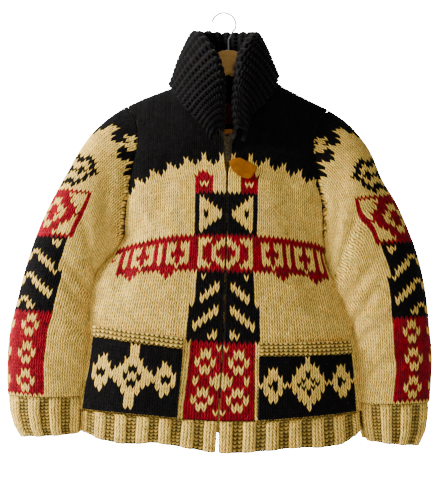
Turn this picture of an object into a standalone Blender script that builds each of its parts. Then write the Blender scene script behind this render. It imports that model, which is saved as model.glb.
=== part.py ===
"""A cowichan sweater hanging on its wooden hanger, as walls of bulky knitted cloth.

The front faces -Y, +Z is up, and +X is on the right of a front view. The origin is inside the
top of the hanger's hook, which holds everything up. Tables and sizes are in millimetres, with x
measured from the photo's middle line, and metres() turns them into Blender's metres.
"""
from collections import namedtuple

import bpy
import bmesh
import numpy as np

# Driving sizes in millimetres
HOOK_TOP_X = -5.7
WALL = 5.0
RIB_WALL = 4.4
RIB_RAISE = 2.4
COLLAR_WALL = 5.0
GARTER_RAISE = 1.2
SEAM_GAP = 0.3
ARMPIT_GAP = 1.6

# Where the body's main lines lie
ARMPIT_Z = -430.0
SIDE_SEAM_Y = -6.0
ZIP_TOP_Z = -250.0
SIDE_SEAM_SLOPE = 120.0  # height over which the seam comes to the middle, above the armpit
LEFT_SIDE_X = -276.0
RIGHT_SIDE_X = 251.0
ZIP_FOOT_X = -17.0
SHOULDER_ROUNDING = 150.0
SECTION_POWER = 2.6
SLEEVE_POWER = 2.2

# How finely each form is divided
BODY_ROWS = 10
ARMHOLE_ROWS = 10
FRONT_COLUMNS = 12
BACK_COLUMNS = 22
BACK_NECK_FIRST = 7
BACK_NECK_LAST = 15
SLEEVE_RINGS = 15
COLLAR_RIDGES = 36
# Steps across the collar, as shares of the stand and then of the fall, closest at the roll
COLLAR_STEPS = (0, 0.14, 0.28, 0.39, 0.455, 0.5, 0.545, 0.61, 0.74, 0.87, 1)
RIB_ROWS = 3
FRONT_RIBS = 7
BACK_RIBS = 14
CUFF_RIBS = 9
RibPoint = namedtuple("RibPoint", "place raised")
RIB_PROFILE = (RibPoint(0.04, 0), RibPoint(0.16, 1), RibPoint(0.50, 1), RibPoint(0.62, 0))

BodyRow = namedtuple("BodyRow", "z left right front back")
BODY = [
    BodyRow(-820, -278, 253, 68, 50),
    BodyRow(-780, -276, 252, 70, 50),
    BodyRow(-720, -271, 246, 74, 51),
    BodyRow(-660, -259, 240, 77, 52),
    BodyRow(-600, -252, 230, 78, 52),
    BodyRow(-545, -250, 207, 77, 54),
    BodyRow(-510, -243, 192, 76, 55),
    BodyRow(-480, -226, 176, 75, 55),
    BodyRow(-455, -200, 170, 74, 56),
    BodyRow(-430, -191, 178, 74, 56),
    BodyRow(-400, -196, 186, 73, 56),
    BodyRow(-350, -200, 190, 71, 56),
    BodyRow(-250, -200, 193, 65, 53),
    BodyRow(-176, -200, 195, 54, 47),
    BodyRow(-96, -200, 195, 46, 44),
]

LinePoint = namedtuple("LinePoint", "x z")
FRONT_HEM = [
    LinePoint(-280, -786), LinePoint(-243, -797), LinePoint(-184, -804), LinePoint(-133, -801),
    LinePoint(-89, -807), LinePoint(-34, -816), LinePoint(0, -819), LinePoint(66, -816),
    LinePoint(122, -811), LinePoint(215, -807), LinePoint(236, -801), LinePoint(256, -786),
]
# Where the hem's rib starts, above both hems
RIB_LINE = [
    LinePoint(-280, -744), LinePoint(-184, -748), LinePoint(-60, -757), LinePoint(0, -760),
    LinePoint(66, -759), LinePoint(150, -754), LinePoint(256, -748),
]
BACK_HEM = [LinePoint(-280, -786), LinePoint(-140, -799), LinePoint(0, -804), LinePoint(256, -786)]

SHOULDER_LINE = [
    LinePoint(-205, -183), LinePoint(-189, -176), LinePoint(-150, -159),
    LinePoint(-104, -142), LinePoint(-78, -122), LinePoint(0, -94),
    LinePoint(78, -118), LinePoint(108, -141), LinePoint(153, -164),
    LinePoint(193, -183), LinePoint(208, -190),
]

# The armhole edge, from the armpit up to the shoulder point, on the front and on the back
EdgePoint = namedtuple("EdgePoint", "z x")
LEFT_FRONT_ARMHOLE = [
    EdgePoint(-430, -191), EdgePoint(-364, -186), EdgePoint(-307, -178), EdgePoint(-240, -166),
    EdgePoint(-205, -172), EdgePoint(-176, -189),
]
LEFT_BACK_ARMHOLE = [
    EdgePoint(-430, -191), EdgePoint(-364, -184), EdgePoint(-300, -178), EdgePoint(-240, -174),
    EdgePoint(-205, -178), EdgePoint(-176, -189),
]
RIGHT_FRONT_ARMHOLE = [
    EdgePoint(-430, 178), EdgePoint(-375, 176), EdgePoint(-300, 165), EdgePoint(-240, 162),
    EdgePoint(-210, 173), EdgePoint(-183, 193),
]
RIGHT_BACK_ARMHOLE = [
    EdgePoint(-430, 178), EdgePoint(-375, 177), EdgePoint(-300, 172), EdgePoint(-240, 172),
    EdgePoint(-210, 180), EdgePoint(-183, 193),
]

# The front edges stand this far each side of the zip's middle line
OpeningRow = namedtuple("OpeningRow", "z middle half_gap")
OPENING = [
    OpeningRow(-822, -19, 2.8), OpeningRow(-760, -16, 1.6), OpeningRow(-620, -8, 1.4),
    OpeningRow(-449, -2, 1.4), OpeningRow(-310, 0.5, 1.6), OpeningRow(-284, 1, 6.5),
    OpeningRow(-250, 1, 8.5),
]
LEFT_NECKLINE = [
    LinePoint(-7.5, -250), LinePoint(-25, -222), LinePoint(-46, -188), LinePoint(-65, -152),
    LinePoint(-78, -122),
]
RIGHT_NECKLINE = [
    LinePoint(9.5, -250), LinePoint(27, -222), LinePoint(46, -186), LinePoint(65, -150),
    LinePoint(78, -118),
]
BACK_NECK_DROP = 10.0

# Soft troughs in the front and back, each along a line, with its depth into the body
Fold = namedtuple("Fold", "x_top z_top x_low z_low width depth")
FRONT_FOLDS = [
    Fold(-168, -405, -196, -520, 17, 7.0),
    Fold(156, -405, 158, -530, 17, 7.0),
    Fold(-112, -300, -142, -470, 24, 3.5),
    Fold(112, -300, 128, -480, 24, 3.5),
    Fold(-60, -330, -70, -500, 30, 2.0),
]
BACK_FOLDS = [
    Fold(-112, -220, -134, -560, 26, 6.0),
    Fold(-20, -300, -24, -640, 28, 3.5),
    Fold(92, -220, 112, -560, 26, 6.0),
]

# A sleeve's sections, from the armhole to the cuff: the outer and the underarm side of each
SleeveRow = namedtuple("SleeveRow", "outer_x outer_z inner_x inner_z middle_y half_depth")
SLEEVE_LEAD = 0.07  # share of the sleeve's length that leads from the armhole's own edge
SLEEVE_LEAD_POWER = 1.3
SLEEVE_CREASES_START = 0.05
SLEEVE_FACING = (0.45, 0.8)  # how far the first rings' walls have turned to the sleeve's own
ARMPIT_STEPS = (3, 5)  # steps from the armpit over which its wider gap closes
ARMPIT_TURNS = (1.0, 0.8, 0.55, 0.3, 0.12)  # how far the armhole's walls turn down, row by row
ARMPIT_LEAN = 0.2
LEFT_SLEEVE = [
    SleeveRow(-189, -176, -191, -430, -5, 47),
    SleeveRow(-222, -199, -199, -446, -8, 49),
    SleeveRow(-247, -222, -208, -456, -10, 50),
    SleeveRow(-270, -252, -222, -468, -12, 49),
    SleeveRow(-298, -301, -240, -484, -14, 48),
    SleeveRow(-327, -354, -252, -507, -15, 47),
    SleeveRow(-353, -411, -258, -537, -16, 46),
    SleeveRow(-376, -479, -261, -575, -17, 45),
    SleeveRow(-392, -541, -262, -612, -18, 44),
    SleeveRow(-405, -592, -265, -648, -18, 43),
    SleeveRow(-411, -650, -271, -686, -18, 42),
    SleeveRow(-411, -718, -279, -720, -18, 41),
]
RIGHT_SLEEVE = [
    SleeveRow(193, -183, 178, -430, -5, 47),
    SleeveRow(226, -208, 183, -448, -8, 49),
    SleeveRow(250, -235, 184, -464, -10, 50),
    SleeveRow(268, -262, 188, -482, -12, 49),
    SleeveRow(292, -318, 198, -506, -14, 48),
    SleeveRow(316, -358, 211, -535, -15, 47),
    SleeveRow(335, -399, 223, -560, -16, 46),
    SleeveRow(356, -455, 236, -595, -17, 45),
    SleeveRow(370, -516, 242, -628, -18, 44),
    SleeveRow(379, -590, 246, -662, -18, 43),
    SleeveRow(384, -650, 251, -698, -18, 42),
    SleeveRow(380, -731, 256, -733, -18, 41),
]
CuffRow = SleeveRow
LEFT_CUFF = [
    CuffRow(-408, -724, -281, -724, -18, 39),
    CuffRow(-405, -752, -283, -752, -18, 37),
    CuffRow(-398, -777, -284, -776, -18, 36),
    CuffRow(-388, -795, -284, -790, -18, 35),
]
RIGHT_CUFF = [
    CuffRow(377, -737, 260, -737, -18, 39),
    CuffRow(375, -762, 262, -760, -18, 37),
    CuffRow(371, -788, 265, -784, -18, 36),
    CuffRow(360, -812, 270, -804, -18, 35),
]

# Soft creases in a sleeve: how far along it, where around it in turns from the outer edge by
# the front, how far they reach around and along, how much they slant, and their depth
Crease = namedtuple("Crease", "along around reach width slant depth")
SLEEVE_CREASES = [
    Crease(0.10, 0.30, 0.13, 0.035, 0.30, 4.0),
    Crease(0.24, 0.40, 0.12, 0.030, 0.25, 6.0),
    Crease(0.36, 0.38, 0.13, 0.030, -0.15, 5.5),
    Crease(0.48, 0.40, 0.12, 0.028, 0.20, 5.0),
    Crease(0.60, 0.36, 0.14, 0.028, -0.20, 4.0),
    Crease(0.80, 0.30, 0.16, 0.030, 0.15, 3.5),
    Crease(0.34, 0.68, 0.12, 0.032, 0.20, 5.0),
    Crease(0.56, 0.70, 0.12, 0.030, -0.20, 4.5),
]

# The collar, from the left front end around the back to the right front end: place along the
# neckline, the top of its roll, and the free edge of its fall
CollarRow = namedtuple("CollarRow", "place roll_x roll_y roll_z edge_x edge_y edge_z")
COLLAR = [
    CollarRow(0.00, -12, -82, -233, -22, -73, -257),
    CollarRow(0.06, -9, -83, -206, -38, -76, -231),
    CollarRow(0.13, -8, -80, -176, -56, -72, -210),
    CollarRow(0.20, -9, -70, -140, -76, -62, -188),
    CollarRow(0.27, -20, -50, -100, -93, -42, -163),
    CollarRow(0.33, -42, -20, -62, -105, -13, -138),
    CollarRow(0.38, -60, 14, -44, -105, 20, -138),
    CollarRow(0.42, -54, 42, -37, -80, 57, -141),
    CollarRow(0.46, -30, 57, -34, -43, 74, -143),
    CollarRow(0.50, 0, 62, -35, 0, 79, -143),
    CollarRow(0.54, 26, 57, -36, 40, 74, -143),
    CollarRow(0.58, 48, 42, -39, 74, 57, -138),
    CollarRow(0.62, 54, 14, -46, 94, 20, -127),
    CollarRow(0.67, 40, -18, -64, 95, -13, -122),
    CollarRow(0.73, 25, -45, -95, 86, -44, -154),
    CollarRow(0.80, 18, -66, -136, 66, -62, -182),
    CollarRow(0.87, 14, -78, -172, 46, -72, -202),
    CollarRow(0.94, 14, -83, -202, 36, -76, -224),
    CollarRow(1.00, 19, -82, -228, 27, -73, -250),
]
NECK_SLACK = 6.0  # how far below the zip's top the collar's first row may start
ROLL_RADIUS = 8.0
LEAST_ROLL = 6.0
ROLL_SHARE = 0.30
GUIDE_STEPS = 8

# Patch pockets: edges across, the sloping top of the band, and the band's height
Pocket = namedtuple("Pocket", "side left right top_left top_right band")
POCKETS = [
    Pocket("left", -250, -82, -588, -607, 22),
    Pocket("right", 57, 229, -616, -616, 25),
]
POCKET_WALL = 4.2
BAND_WALL = 6.5
POCKET_GAP = 0.9
POCKET_ROWS = 5
POCKET_LIFT = 2.0
POCKET_MIDDLE_ROW = 3

# The zip behind the front edges
ZIP_TAPE_WIDTH = 13.0
ZIP_TAPE_THICKNESS = 1.0
ZIP_LAY_GAP = 0.8
ZIP_CHAIN_WIDTH = 6.0
ZIP_CHAIN_THICKNESS = 2.4
ZIP_ROWS = 16
ZIP_END_Z = -814.0
SLIDER_TOP_Z = -241.0
SLIDER_LENGTH = 18.0
SLIDER_WIDTH = 12.0
SLIDER_DEPTH = 6.0
SLIDER_RAISE = 1.0
SLIDER_ROUNDING = 1.5
TAPE_END_TOP_Z = -227.0
TAPE_END_HEIGHT = 8.0
TAPE_END_WIDTH = 17.0
THIN_ROUNDING = 0.3
BAIL_WIRE = 1.5
BailPoint = namedtuple("BailPoint", "out up")
BAIL = [
    BailPoint(0.3, 3.5), BailPoint(3.0, 3.5), BailPoint(4.2, 2.8), BailPoint(4.7, 1.2),
    BailPoint(4.7, -1.2), BailPoint(4.2, -2.8), BailPoint(3.0, -3.5), BailPoint(0.3, -3.5),
]
PULL_AXIS_Z = -249.0
PULL_REACH = 2.0
PULL_THICKNESS = 1.8
PULL_WIDTH = 7.0
PULL_FOOT_Z = -288.0
PULL_EYE_TOP = 1.0
PULL_EYE_FOOT = 6.5
PULL_EYE_HALF = 1.5
LEATHER_THICKNESS = 3.0
LEATHER_ROUNDING = 0.8
TAB_LAY_GAP = 0.8

# The leather tab's outline as it hangs, from its rounded end at the slider clockwise
LeatherPoint = namedtuple("LeatherPoint", "x z")
LEATHER = [
    LeatherPoint(3.6, -289), LeatherPoint(7.5, -284.2), LeatherPoint(15, -281.6),
    LeatherPoint(23.5, -281), LeatherPoint(30, -284), LeatherPoint(55, -297.4),
    LeatherPoint(53.4, -302.5), LeatherPoint(50.3, -308), LeatherPoint(45, -315.5),
    LeatherPoint(39.2, -319.4), LeatherPoint(31, -318), LeatherPoint(20.7, -313.6),
    LeatherPoint(9.7, -303.6), LeatherPoint(5, -295.5),
]

# The wooden hanger's upper and lower edges, mirrored about its own middle line
HangerPoint = namedtuple("HangerPoint", "out z")
HANGER_MIDDLE_X = 3.0
HANGER_TILT = 7.0  # rise of the left arm's end, which seats it under the left shoulder
HANGER_THICKNESS = 12.0
HANGER_ROUNDING = 2.5
HANGER_TOP = [
    HangerPoint(0, -69.5), HangerPoint(13, -71.5), HangerPoint(26, -78), HangerPoint(37, -91),
    HangerPoint(47, -107.5), HangerPoint(58, -123), HangerPoint(76, -138.5), HangerPoint(100, -152),
    HangerPoint(125, -163), HangerPoint(150, -175), HangerPoint(166, -182.6),
]
HANGER_BOTTOM = [
    HangerPoint(171, -190), HangerPoint(166, -199), HangerPoint(150, -197.5), HangerPoint(120, -188),
    HangerPoint(90, -175), HangerPoint(60, -154), HangerPoint(30, -130.5), HangerPoint(0, -115.5),
]
HOOK_WIRE = 3.5
HOOK_RADIUS = 22.9
HOOK_START = -18.0
HOOK_END = 168.0
HOOK_STEPS = 20
StemPoint = namedtuple("StemPoint", "aside z")
HOOK_STEM = [
    StemPoint(0, -69.2), StemPoint(0, -51), StemPoint(0.6, -47.5), StemPoint(2.6, -44.5),
    StemPoint(8.5, -33.5),
]

LABEL_LEFT = -30.0
LABEL_RIGHT = 30.0
LABEL_TOP = -165.0
LABEL_BOTTOM = -204.0
LABEL_THICKNESS = 1.0
LABEL_LAY_GAP = 1.0

COLOURS = {
    "cream_wool": (0.62, 0.45, 0.19),
    "dark_wool": (0.012, 0.009, 0.010),
    "zip_tape": (0.09, 0.06, 0.035),
    "brass": (0.36, 0.27, 0.12),
    "leather": (0.33, 0.12, 0.03),
    "beech": (0.50, 0.29, 0.10),
    "steel": (0.60, 0.60, 0.62),
    "label": (0.075, 0.012, 0.010),
}
ROUGHNESS = {
    "cream_wool": 0.95, "dark_wool": 0.95, "zip_tape": 0.8, "brass": 0.35,
    "leather": 0.5, "beech": 0.45, "steel": 0.15, "label": 0.8,
}
METALS = ("brass", "steel")


def clear_scene():
    """Remove whatever the opened file holds."""
    for thing in list(bpy.data.objects):
        bpy.data.objects.remove(thing, do_unlink=True)


def metres(points):
    """Turn table millimetres into metres from the hook's inside top."""
    return (np.asarray(points, float) - (HOOK_TOP_X, 0.0, 0.0)) * 0.001


def column(rows, name):
    """Return one named column of a table."""
    return np.array([getattr(row, name) for row in rows], float)


def smooth(rows, key, name, at):
    """Read a table's column along a smooth curve through its rows."""
    knots = column(rows, key)
    values = column(rows, name)
    slopes = np.gradient(values, knots)
    at = np.clip(np.asarray(at, float), knots[0], knots[-1])
    before = np.clip(np.searchsorted(knots, at) - 1, 0, len(knots) - 2)
    step = knots[before + 1] - knots[before]
    t = (at - knots[before]) / step
    start = values[before] * (1 + 2 * t) * (1 - t) ** 2
    end = values[before + 1] * t * t * (3 - 2 * t)
    leave = slopes[before] * step * t * (1 - t) ** 2
    arrive = slopes[before + 1] * step * t * t * (t - 1)
    return start + end + leave + arrive


def straight(rows, key, name, at):
    """Read a table's column along straight runs between its rows."""
    return np.interp(at, column(rows, key), column(rows, name))


def rib_line(x):
    """Return the height at which the hem's rib starts."""
    return smooth(RIB_LINE, "x", "z", x)


def mix(start, end, share):
    """Blend two values by a share from 0 to 1."""
    return start + (end - start) * share


def fold_depth(folds, x, z):
    """Return how far the cloth is pushed in at a place by soft troughs."""
    depth = np.zeros(np.broadcast(x, z).shape)
    for fold in folds:
        run_x = fold.x_low - fold.x_top
        run_z = fold.z_low - fold.z_top
        share = ((x - fold.x_top) * run_x + (z - fold.z_top) * run_z) / (run_x**2 + run_z**2)
        share = np.clip(share, 0, 1)
        away = (x - fold.x_top - share * run_x) ** 2 + (z - fold.z_top - share * run_z) ** 2
        depth += fold.depth * np.exp(-away / fold.width**2)
    return depth


def fullness(x, z):
    """Return the share of the body's full depth at a place, by its section and shoulders."""
    left = smooth(BODY, "z", "left", z)
    right = smooth(BODY, "z", "right", z)
    across = np.abs(2 * x - left - right) / (right - left)
    section = (1 - np.clip(across, 0, 1) ** SECTION_POWER) ** (1 / SECTION_POWER)
    below = np.clip((straight(SHOULDER_LINE, "x", "z", x) - z) / SHOULDER_ROUNDING, 0, 1)
    return section * np.sqrt(1 - (1 - below) ** 2)


def fold_share(full):
    """Return how much of a fold's depth shows, which dies away towards the panel's edges."""
    return np.clip(full * 2 - 0.6, 0, 1)


def front_y(x, z):
    """Return the front's outer surface at a place."""
    full = fullness(x, z)
    pushed = fold_depth(FRONT_FOLDS, x, z) * fold_share(full)
    return seam_y(z) - smooth(BODY, "z", "front", z) * full + pushed


def back_y(x, z):
    """Return the back's outer surface at a place."""
    full = fullness(x, z)
    pushed = fold_depth(BACK_FOLDS, x, z) * fold_share(full)
    return seam_y(z) + smooth(BODY, "z", "back", z) * full - pushed


def seam_y(z):
    """Return the side seam's place from front to back, straight up to the armpit."""
    above = np.clip((z - ARMPIT_Z) / SIDE_SEAM_SLOPE, 0, 1)
    return SIDE_SEAM_Y * (1 - above)


def grid_normals(grid, closed=False):
    """Return a unit normal at each point of a grid of rows and columns."""
    if closed:
        along = np.roll(grid, -1, axis=1) - np.roll(grid, 1, axis=1)
    else:
        along = np.gradient(grid, axis=1)
    up = np.gradient(grid, axis=0)
    normals = np.cross(along, up)
    return normals / np.linalg.norm(normals, axis=2, keepdims=True)


def unit(vectors):
    """Return vectors at unit length."""
    return vectors / np.linalg.norm(vectors, axis=-1, keepdims=True)


def rows_between(start, end, count):
    """Return evenly spaced shares of a run."""
    return np.linspace(start, end, count + 1)


def armhole_shares():
    """Return how far up the armhole each of its rows lies, closer at both ends."""
    return (1 - np.cos(np.pi * rows_between(0, 1, ARMHOLE_ROWS))) / 2


def path_points(points, shares):
    """Return points at given shares of a path's length."""
    points = np.asarray(points, float)
    lengths = np.concatenate([[0], np.cumsum(np.linalg.norm(np.diff(points, axis=0), axis=1))])
    lengths /= lengths[-1]
    return np.stack([np.interp(shares, lengths, points[:, axis]) for axis in range(points.shape[1])], -1)


def front_edge_path(side):
    """Return the front edge's upper run, up the zip from the armpit's height and round the neck."""
    sign = -1 if side == "left" else 1
    neckline = LEFT_NECKLINE if side == "left" else RIGHT_NECKLINE
    heights = np.linspace(ARMPIT_Z, ZIP_TOP_Z, 10)
    zip_x = smooth(OPENING, "z", "middle", heights) + sign * straight(OPENING, "z", "half_gap", heights)
    run = list(zip(zip_x, heights))
    return np.array(run + [(point.x, point.z) for point in neckline[1:]])


def front_outline(side, armhole):
    """Return a front panel's points across and up, from the side seam to the zip's edge."""
    sign = -1 if side == "left" else 1
    across = 1 - np.cos(np.pi / 2 * rows_between(0, 1, FRONT_COLUMNS))
    side_x = LEFT_SIDE_X if side == "left" else RIGHT_SIDE_X
    grid = []
    for share in rows_between(0, 1, BODY_ROWS)[:-1]:
        seam_z = mix(rib_line(side_x), ARMPIT_Z, share)
        seam_x = smooth(BODY, "z", side, seam_z)
        edge_z = mix(rib_line(ZIP_FOOT_X), ARMPIT_Z, share)
        gap = sign * straight(OPENING, "z", "half_gap", edge_z)
        edge_x = smooth(OPENING, "z", "middle", edge_z) + gap
        x = mix(seam_x, edge_x, across)
        z = mix(rib_line(x), ARMPIT_Z, share)
        grid.append(np.stack([x, z], -1))
    shares = armhole_shares()
    edge = path_points(front_edge_path(side), shares)
    top_z = armhole[-1].z
    top_x = mix(armhole[-1].x, edge[-1, 0], across)
    lift = straight(SHOULDER_LINE, "x", "z", top_x) - mix(top_z, edge[-1, 1], across)
    for share, (edge_x, edge_z) in zip(shares, edge):
        hole_z = mix(ARMPIT_Z, top_z, share)
        hole_x = smooth(armhole, "z", "x", hole_z)
        x = mix(hole_x, edge_x, across)
        z = mix(hole_z, edge_z, across) + share * lift
        grid.append(np.stack([x, z], -1))
    return np.array(grid)


def back_outline():
    """Return the back's points across and up, from the left side to the right."""
    even = rows_between(0, 1, BACK_COLUMNS)
    low_across = (1 - np.cos(np.pi * even)) / 2
    low_across = mix(low_across, even, 0.25)
    grid = []
    for share in rows_between(0, 1, BODY_ROWS)[:-1]:
        left_z = mix(rib_line(LEFT_SIDE_X), ARMPIT_Z, share)
        right_z = mix(rib_line(RIGHT_SIDE_X), ARMPIT_Z, share)
        left_x = smooth(BODY, "z", "left", left_z)
        right_x = smooth(BODY, "z", "right", right_z)
        x = mix(left_x, right_x, low_across)
        z = mix(rib_line(x), ARMPIT_Z, share)
        grid.append(np.stack([x, z], -1))
    shares = armhole_shares()
    left_top = LEFT_BACK_ARMHOLE[-1]
    right_top = RIGHT_BACK_ARMHOLE[-1]
    neck = (LEFT_NECKLINE[-1], RIGHT_NECKLINE[-1])
    width = right_top.x - left_top.x
    neck_places = [(point.x - left_top.x) / width for point in neck]
    neck_knots = [BACK_NECK_FIRST / BACK_COLUMNS, BACK_NECK_LAST / BACK_COLUMNS]
    high_across = np.interp(even, [0, *neck_knots, 1], [0, *neck_places, 1])
    top_x = mix(left_top.x, right_top.x, high_across)
    neck_share = np.clip(1 - (top_x / neck[1].x) ** 2, 0, 1)
    neck_line = np.interp(top_x, [point.x for point in neck], [point.z for point in neck])
    shoulder = straight(SHOULDER_LINE, "x", "z", top_x)
    top_z = np.where(neck_share > 0, neck_line - BACK_NECK_DROP * neck_share, shoulder)
    lift = top_z - mix(left_top.z, right_top.z, high_across)
    for share in shares:
        left_z = mix(ARMPIT_Z, left_top.z, share)
        right_z = mix(ARMPIT_Z, right_top.z, share)
        across = mix(low_across, high_across, share)
        x = mix(
            smooth(LEFT_BACK_ARMHOLE, "z", "x", left_z),
            smooth(RIGHT_BACK_ARMHOLE, "z", "x", right_z),
            across,
        )
        z = mix(left_z, right_z, across) + share * lift
        grid.append(np.stack([x, z], -1))
    return np.array(grid)


def lift_points(outline, surface_y):
    """Place an outline's points on a surface read from x and z."""
    x = outline[..., 0]
    z = outline[..., 1]
    return np.stack([x, surface_y(x, z), z], -1)


def armpit_turn(normals, edge, side):
    """Turn the wall's direction at an armhole so that the sleeve's underside can start there."""
    down = np.array([-ARMPIT_LEAN if side == "left" else ARMPIT_LEAN, 0, -1.0])
    for step, share in enumerate(ARMPIT_TURNS):
        row = BODY_ROWS + step
        normals[row, edge, 0] *= 1 - share
        normals[row, edge] = mix(normals[row, edge], down, share)


def flatten_seams(normals, seam_columns, shoulder_columns):
    """Hold a panel's wall square to its side seams and shoulder seams, where panels meet."""
    for seam in seam_columns:
        normals[: BODY_ROWS + 1, seam, 1] = 0
    normals[-1, shoulder_columns, 1] = 0
    normals[0, :, 2] = 0


def panel_walls(outer, normals):
    """Return a panel's outer and inner points."""
    normals = unit(normals)
    return outer, outer - WALL * normals, normals


def front_panel(side):
    """Return a front panel's outer points, inner points and normals, from side seam to zip."""
    armhole = LEFT_FRONT_ARMHOLE if side == "left" else RIGHT_FRONT_ARMHOLE
    outer = lift_points(front_outline(side, armhole), front_y)
    outer[: BODY_ROWS + 1, 0, 1] -= SEAM_GAP / 2
    outer[-1, :, 1] -= SEAM_GAP / 2
    normals = grid_normals(outer)
    if side == "right":
        normals = -normals
    flatten_seams(normals, [0], slice(None))
    armpit_turn(normals, 0, side)
    return panel_walls(outer, normals)


def back_panel():
    """Return the back's outer points, inner points and normals, from left to right."""
    outer = lift_points(back_outline(), back_y)
    outer[: BODY_ROWS + 1, [0, -1], 1] += SEAM_GAP / 2
    outer[-1, :, 1] += SEAM_GAP / 2
    normals = -grid_normals(outer)
    places = np.arange(BACK_COLUMNS + 1)
    shoulder_columns = (places <= BACK_NECK_FIRST) | (places >= BACK_NECK_LAST)
    flatten_seams(normals, [0, -1], shoulder_columns)
    armpit_turn(normals, 0, "left")
    armpit_turn(normals, -1, "right")
    return panel_walls(outer, normals)


def ring_point(row, turn):
    """Return points of a sleeve's section at turns from its outer edge, by the front."""
    angle = 2 * np.pi * turn
    power = 2 / SLEEVE_POWER
    across = np.sign(np.cos(angle)) * np.abs(np.cos(angle)) ** power
    deep = np.sign(np.sin(angle)) * np.abs(np.sin(angle)) ** power
    x = (row.outer_x + row.inner_x) / 2 + across * (row.outer_x - row.inner_x) / 2
    z = (row.outer_z + row.inner_z) / 2 + across * (row.outer_z - row.inner_z) / 2
    y = row.middle_y - deep * row.half_depth
    return np.stack([x, y, z], -1)


def sleeve_row(rows, along):
    """Return a sleeve's section at a share of its length."""
    keyed = column(rows, "outer_z") + column(rows, "inner_z")
    keyed = (keyed - keyed[0]) / (keyed[-1] - keyed[0])
    Keyed = namedtuple("Keyed", ("key",) + SleeveRow._fields)
    table = [Keyed(key, *row) for key, row in zip(keyed, rows)]
    return SleeveRow(*[float(smooth(table, "key", name, along)) for name in SleeveRow._fields])


def crease_depth(along, turn):
    """Return how far a sleeve's cloth is pushed in by its creases."""
    depth = np.zeros(np.broadcast(along, turn).shape)
    for crease in SLEEVE_CREASES:
        around = turn - crease.around
        line = along - crease.along - crease.slant * around
        depth += crease.depth * np.exp(-((around / crease.reach) ** 2) - (line / crease.width) ** 2)
    return depth


def sleeve_points(rows, armhole, along, turn, armhole_turns):
    """Return a sleeve's outer points, led from the armhole's edge into its own sections."""
    row = sleeve_row(rows, along)
    points = ring_point(row, turn)
    lead = np.exp(-((along / SLEEVE_LEAD) ** SLEEVE_LEAD_POWER))
    start = ring_point(rows[0], armhole_turns)
    shift = armhole - start
    moved = np.stack([np.interp(turn, armhole_turns, shift[:, axis]) for axis in range(3)], -1)
    points = points + lead * moved
    middle = points.mean(axis=0)
    inward = unit(middle - points)
    pushed = crease_depth(along, turn) * np.clip(along / SLEEVE_CREASES_START, 0, 1)
    return points + inward * pushed[:, None]


def sleeve(side, front, back):
    """Return a sleeve's outer and inner points, ring by ring, from the armhole down."""
    rows = LEFT_SLEEVE if side == "left" else RIGHT_SLEEVE
    column_at = 0 if side == "left" else -1
    armhole_outer, armhole_inner, facing = armhole_loop(front, back, column_at)
    turns = rows_between(0, 1, 2 * ARMHOLE_ROWS)
    loop = np.vstack([armhole_outer, armhole_outer[:1]])
    shares = rows_between(0, 1, SLEEVE_RINGS)
    outer = np.array([sleeve_points(rows, loop, share, turns, turns)[:-1] for share in shares])
    normals = grid_normals(outer, closed=True)
    outside = outer - outer.mean(axis=1, keepdims=True)
    if np.sum(normals * outside) < 0:
        normals = -normals
    start = unit(armhole_outer - armhole_inner)
    for ring, share in enumerate(SLEEVE_FACING, start=1):
        normals[ring] = unit(mix(start, normals[ring], share))
    inner = outer - WALL * normals
    from_armpit = np.abs(np.arange(2 * ARMHOLE_ROWS) - ARMHOLE_ROWS)
    gap = np.interp(from_armpit, ARMPIT_STEPS, [ARMPIT_GAP, SEAM_GAP])[:, None]
    outer[0] = armhole_outer + gap * facing
    inner[0] = armhole_inner + gap * facing
    return outer, inner


def armhole_loop(front, back, column_at):
    """Return the armhole's points around the front and back, and the way to the sleeve."""
    front_edge = slice(BODY_ROWS, None)
    outer = []
    inner = []
    for panel, edge in ((front, 0), (back, column_at)):
        outer.append(panel[0][front_edge, edge])
        inner.append(panel[1][front_edge, edge])
    outer_loop = np.vstack([outer[0][::-1], outer[1][1:-1]])
    inner_loop = np.vstack([inner[0][::-1], inner[1][1:-1]])
    shoulder = (outer[0][-1] + outer[1][-1]) / 2
    armpit = (outer[0][0] + outer[1][0]) / 2
    outer_loop[0] = shoulder
    outer_loop[ARMHOLE_ROWS] = armpit
    inner_loop[0] = (inner[0][-1] + inner[1][-1]) / 2
    inner_loop[ARMHOLE_ROWS] = (inner[0][0] + inner[1][0]) / 2
    tangent = np.roll(outer_loop, -1, axis=0) - np.roll(outer_loop, 1, axis=0)
    facing = unit(np.cross(tangent, outer_loop - inner_loop))
    sign = -1 if column_at == 0 else 1
    if np.sum(facing[:, 0]) * sign < 0:
        facing = -facing
    return outer_loop, inner_loop, facing


def rib_raise(count):
    """Return the ribs' columns: their shares across and how far each is raised."""
    shares = []
    raised = []
    for rib in range(count):
        for point in RIB_PROFILE:
            shares.append((rib + point.place) / count)
            raised.append(point.raised)
    return np.array(shares), np.array(raised, float)


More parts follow.
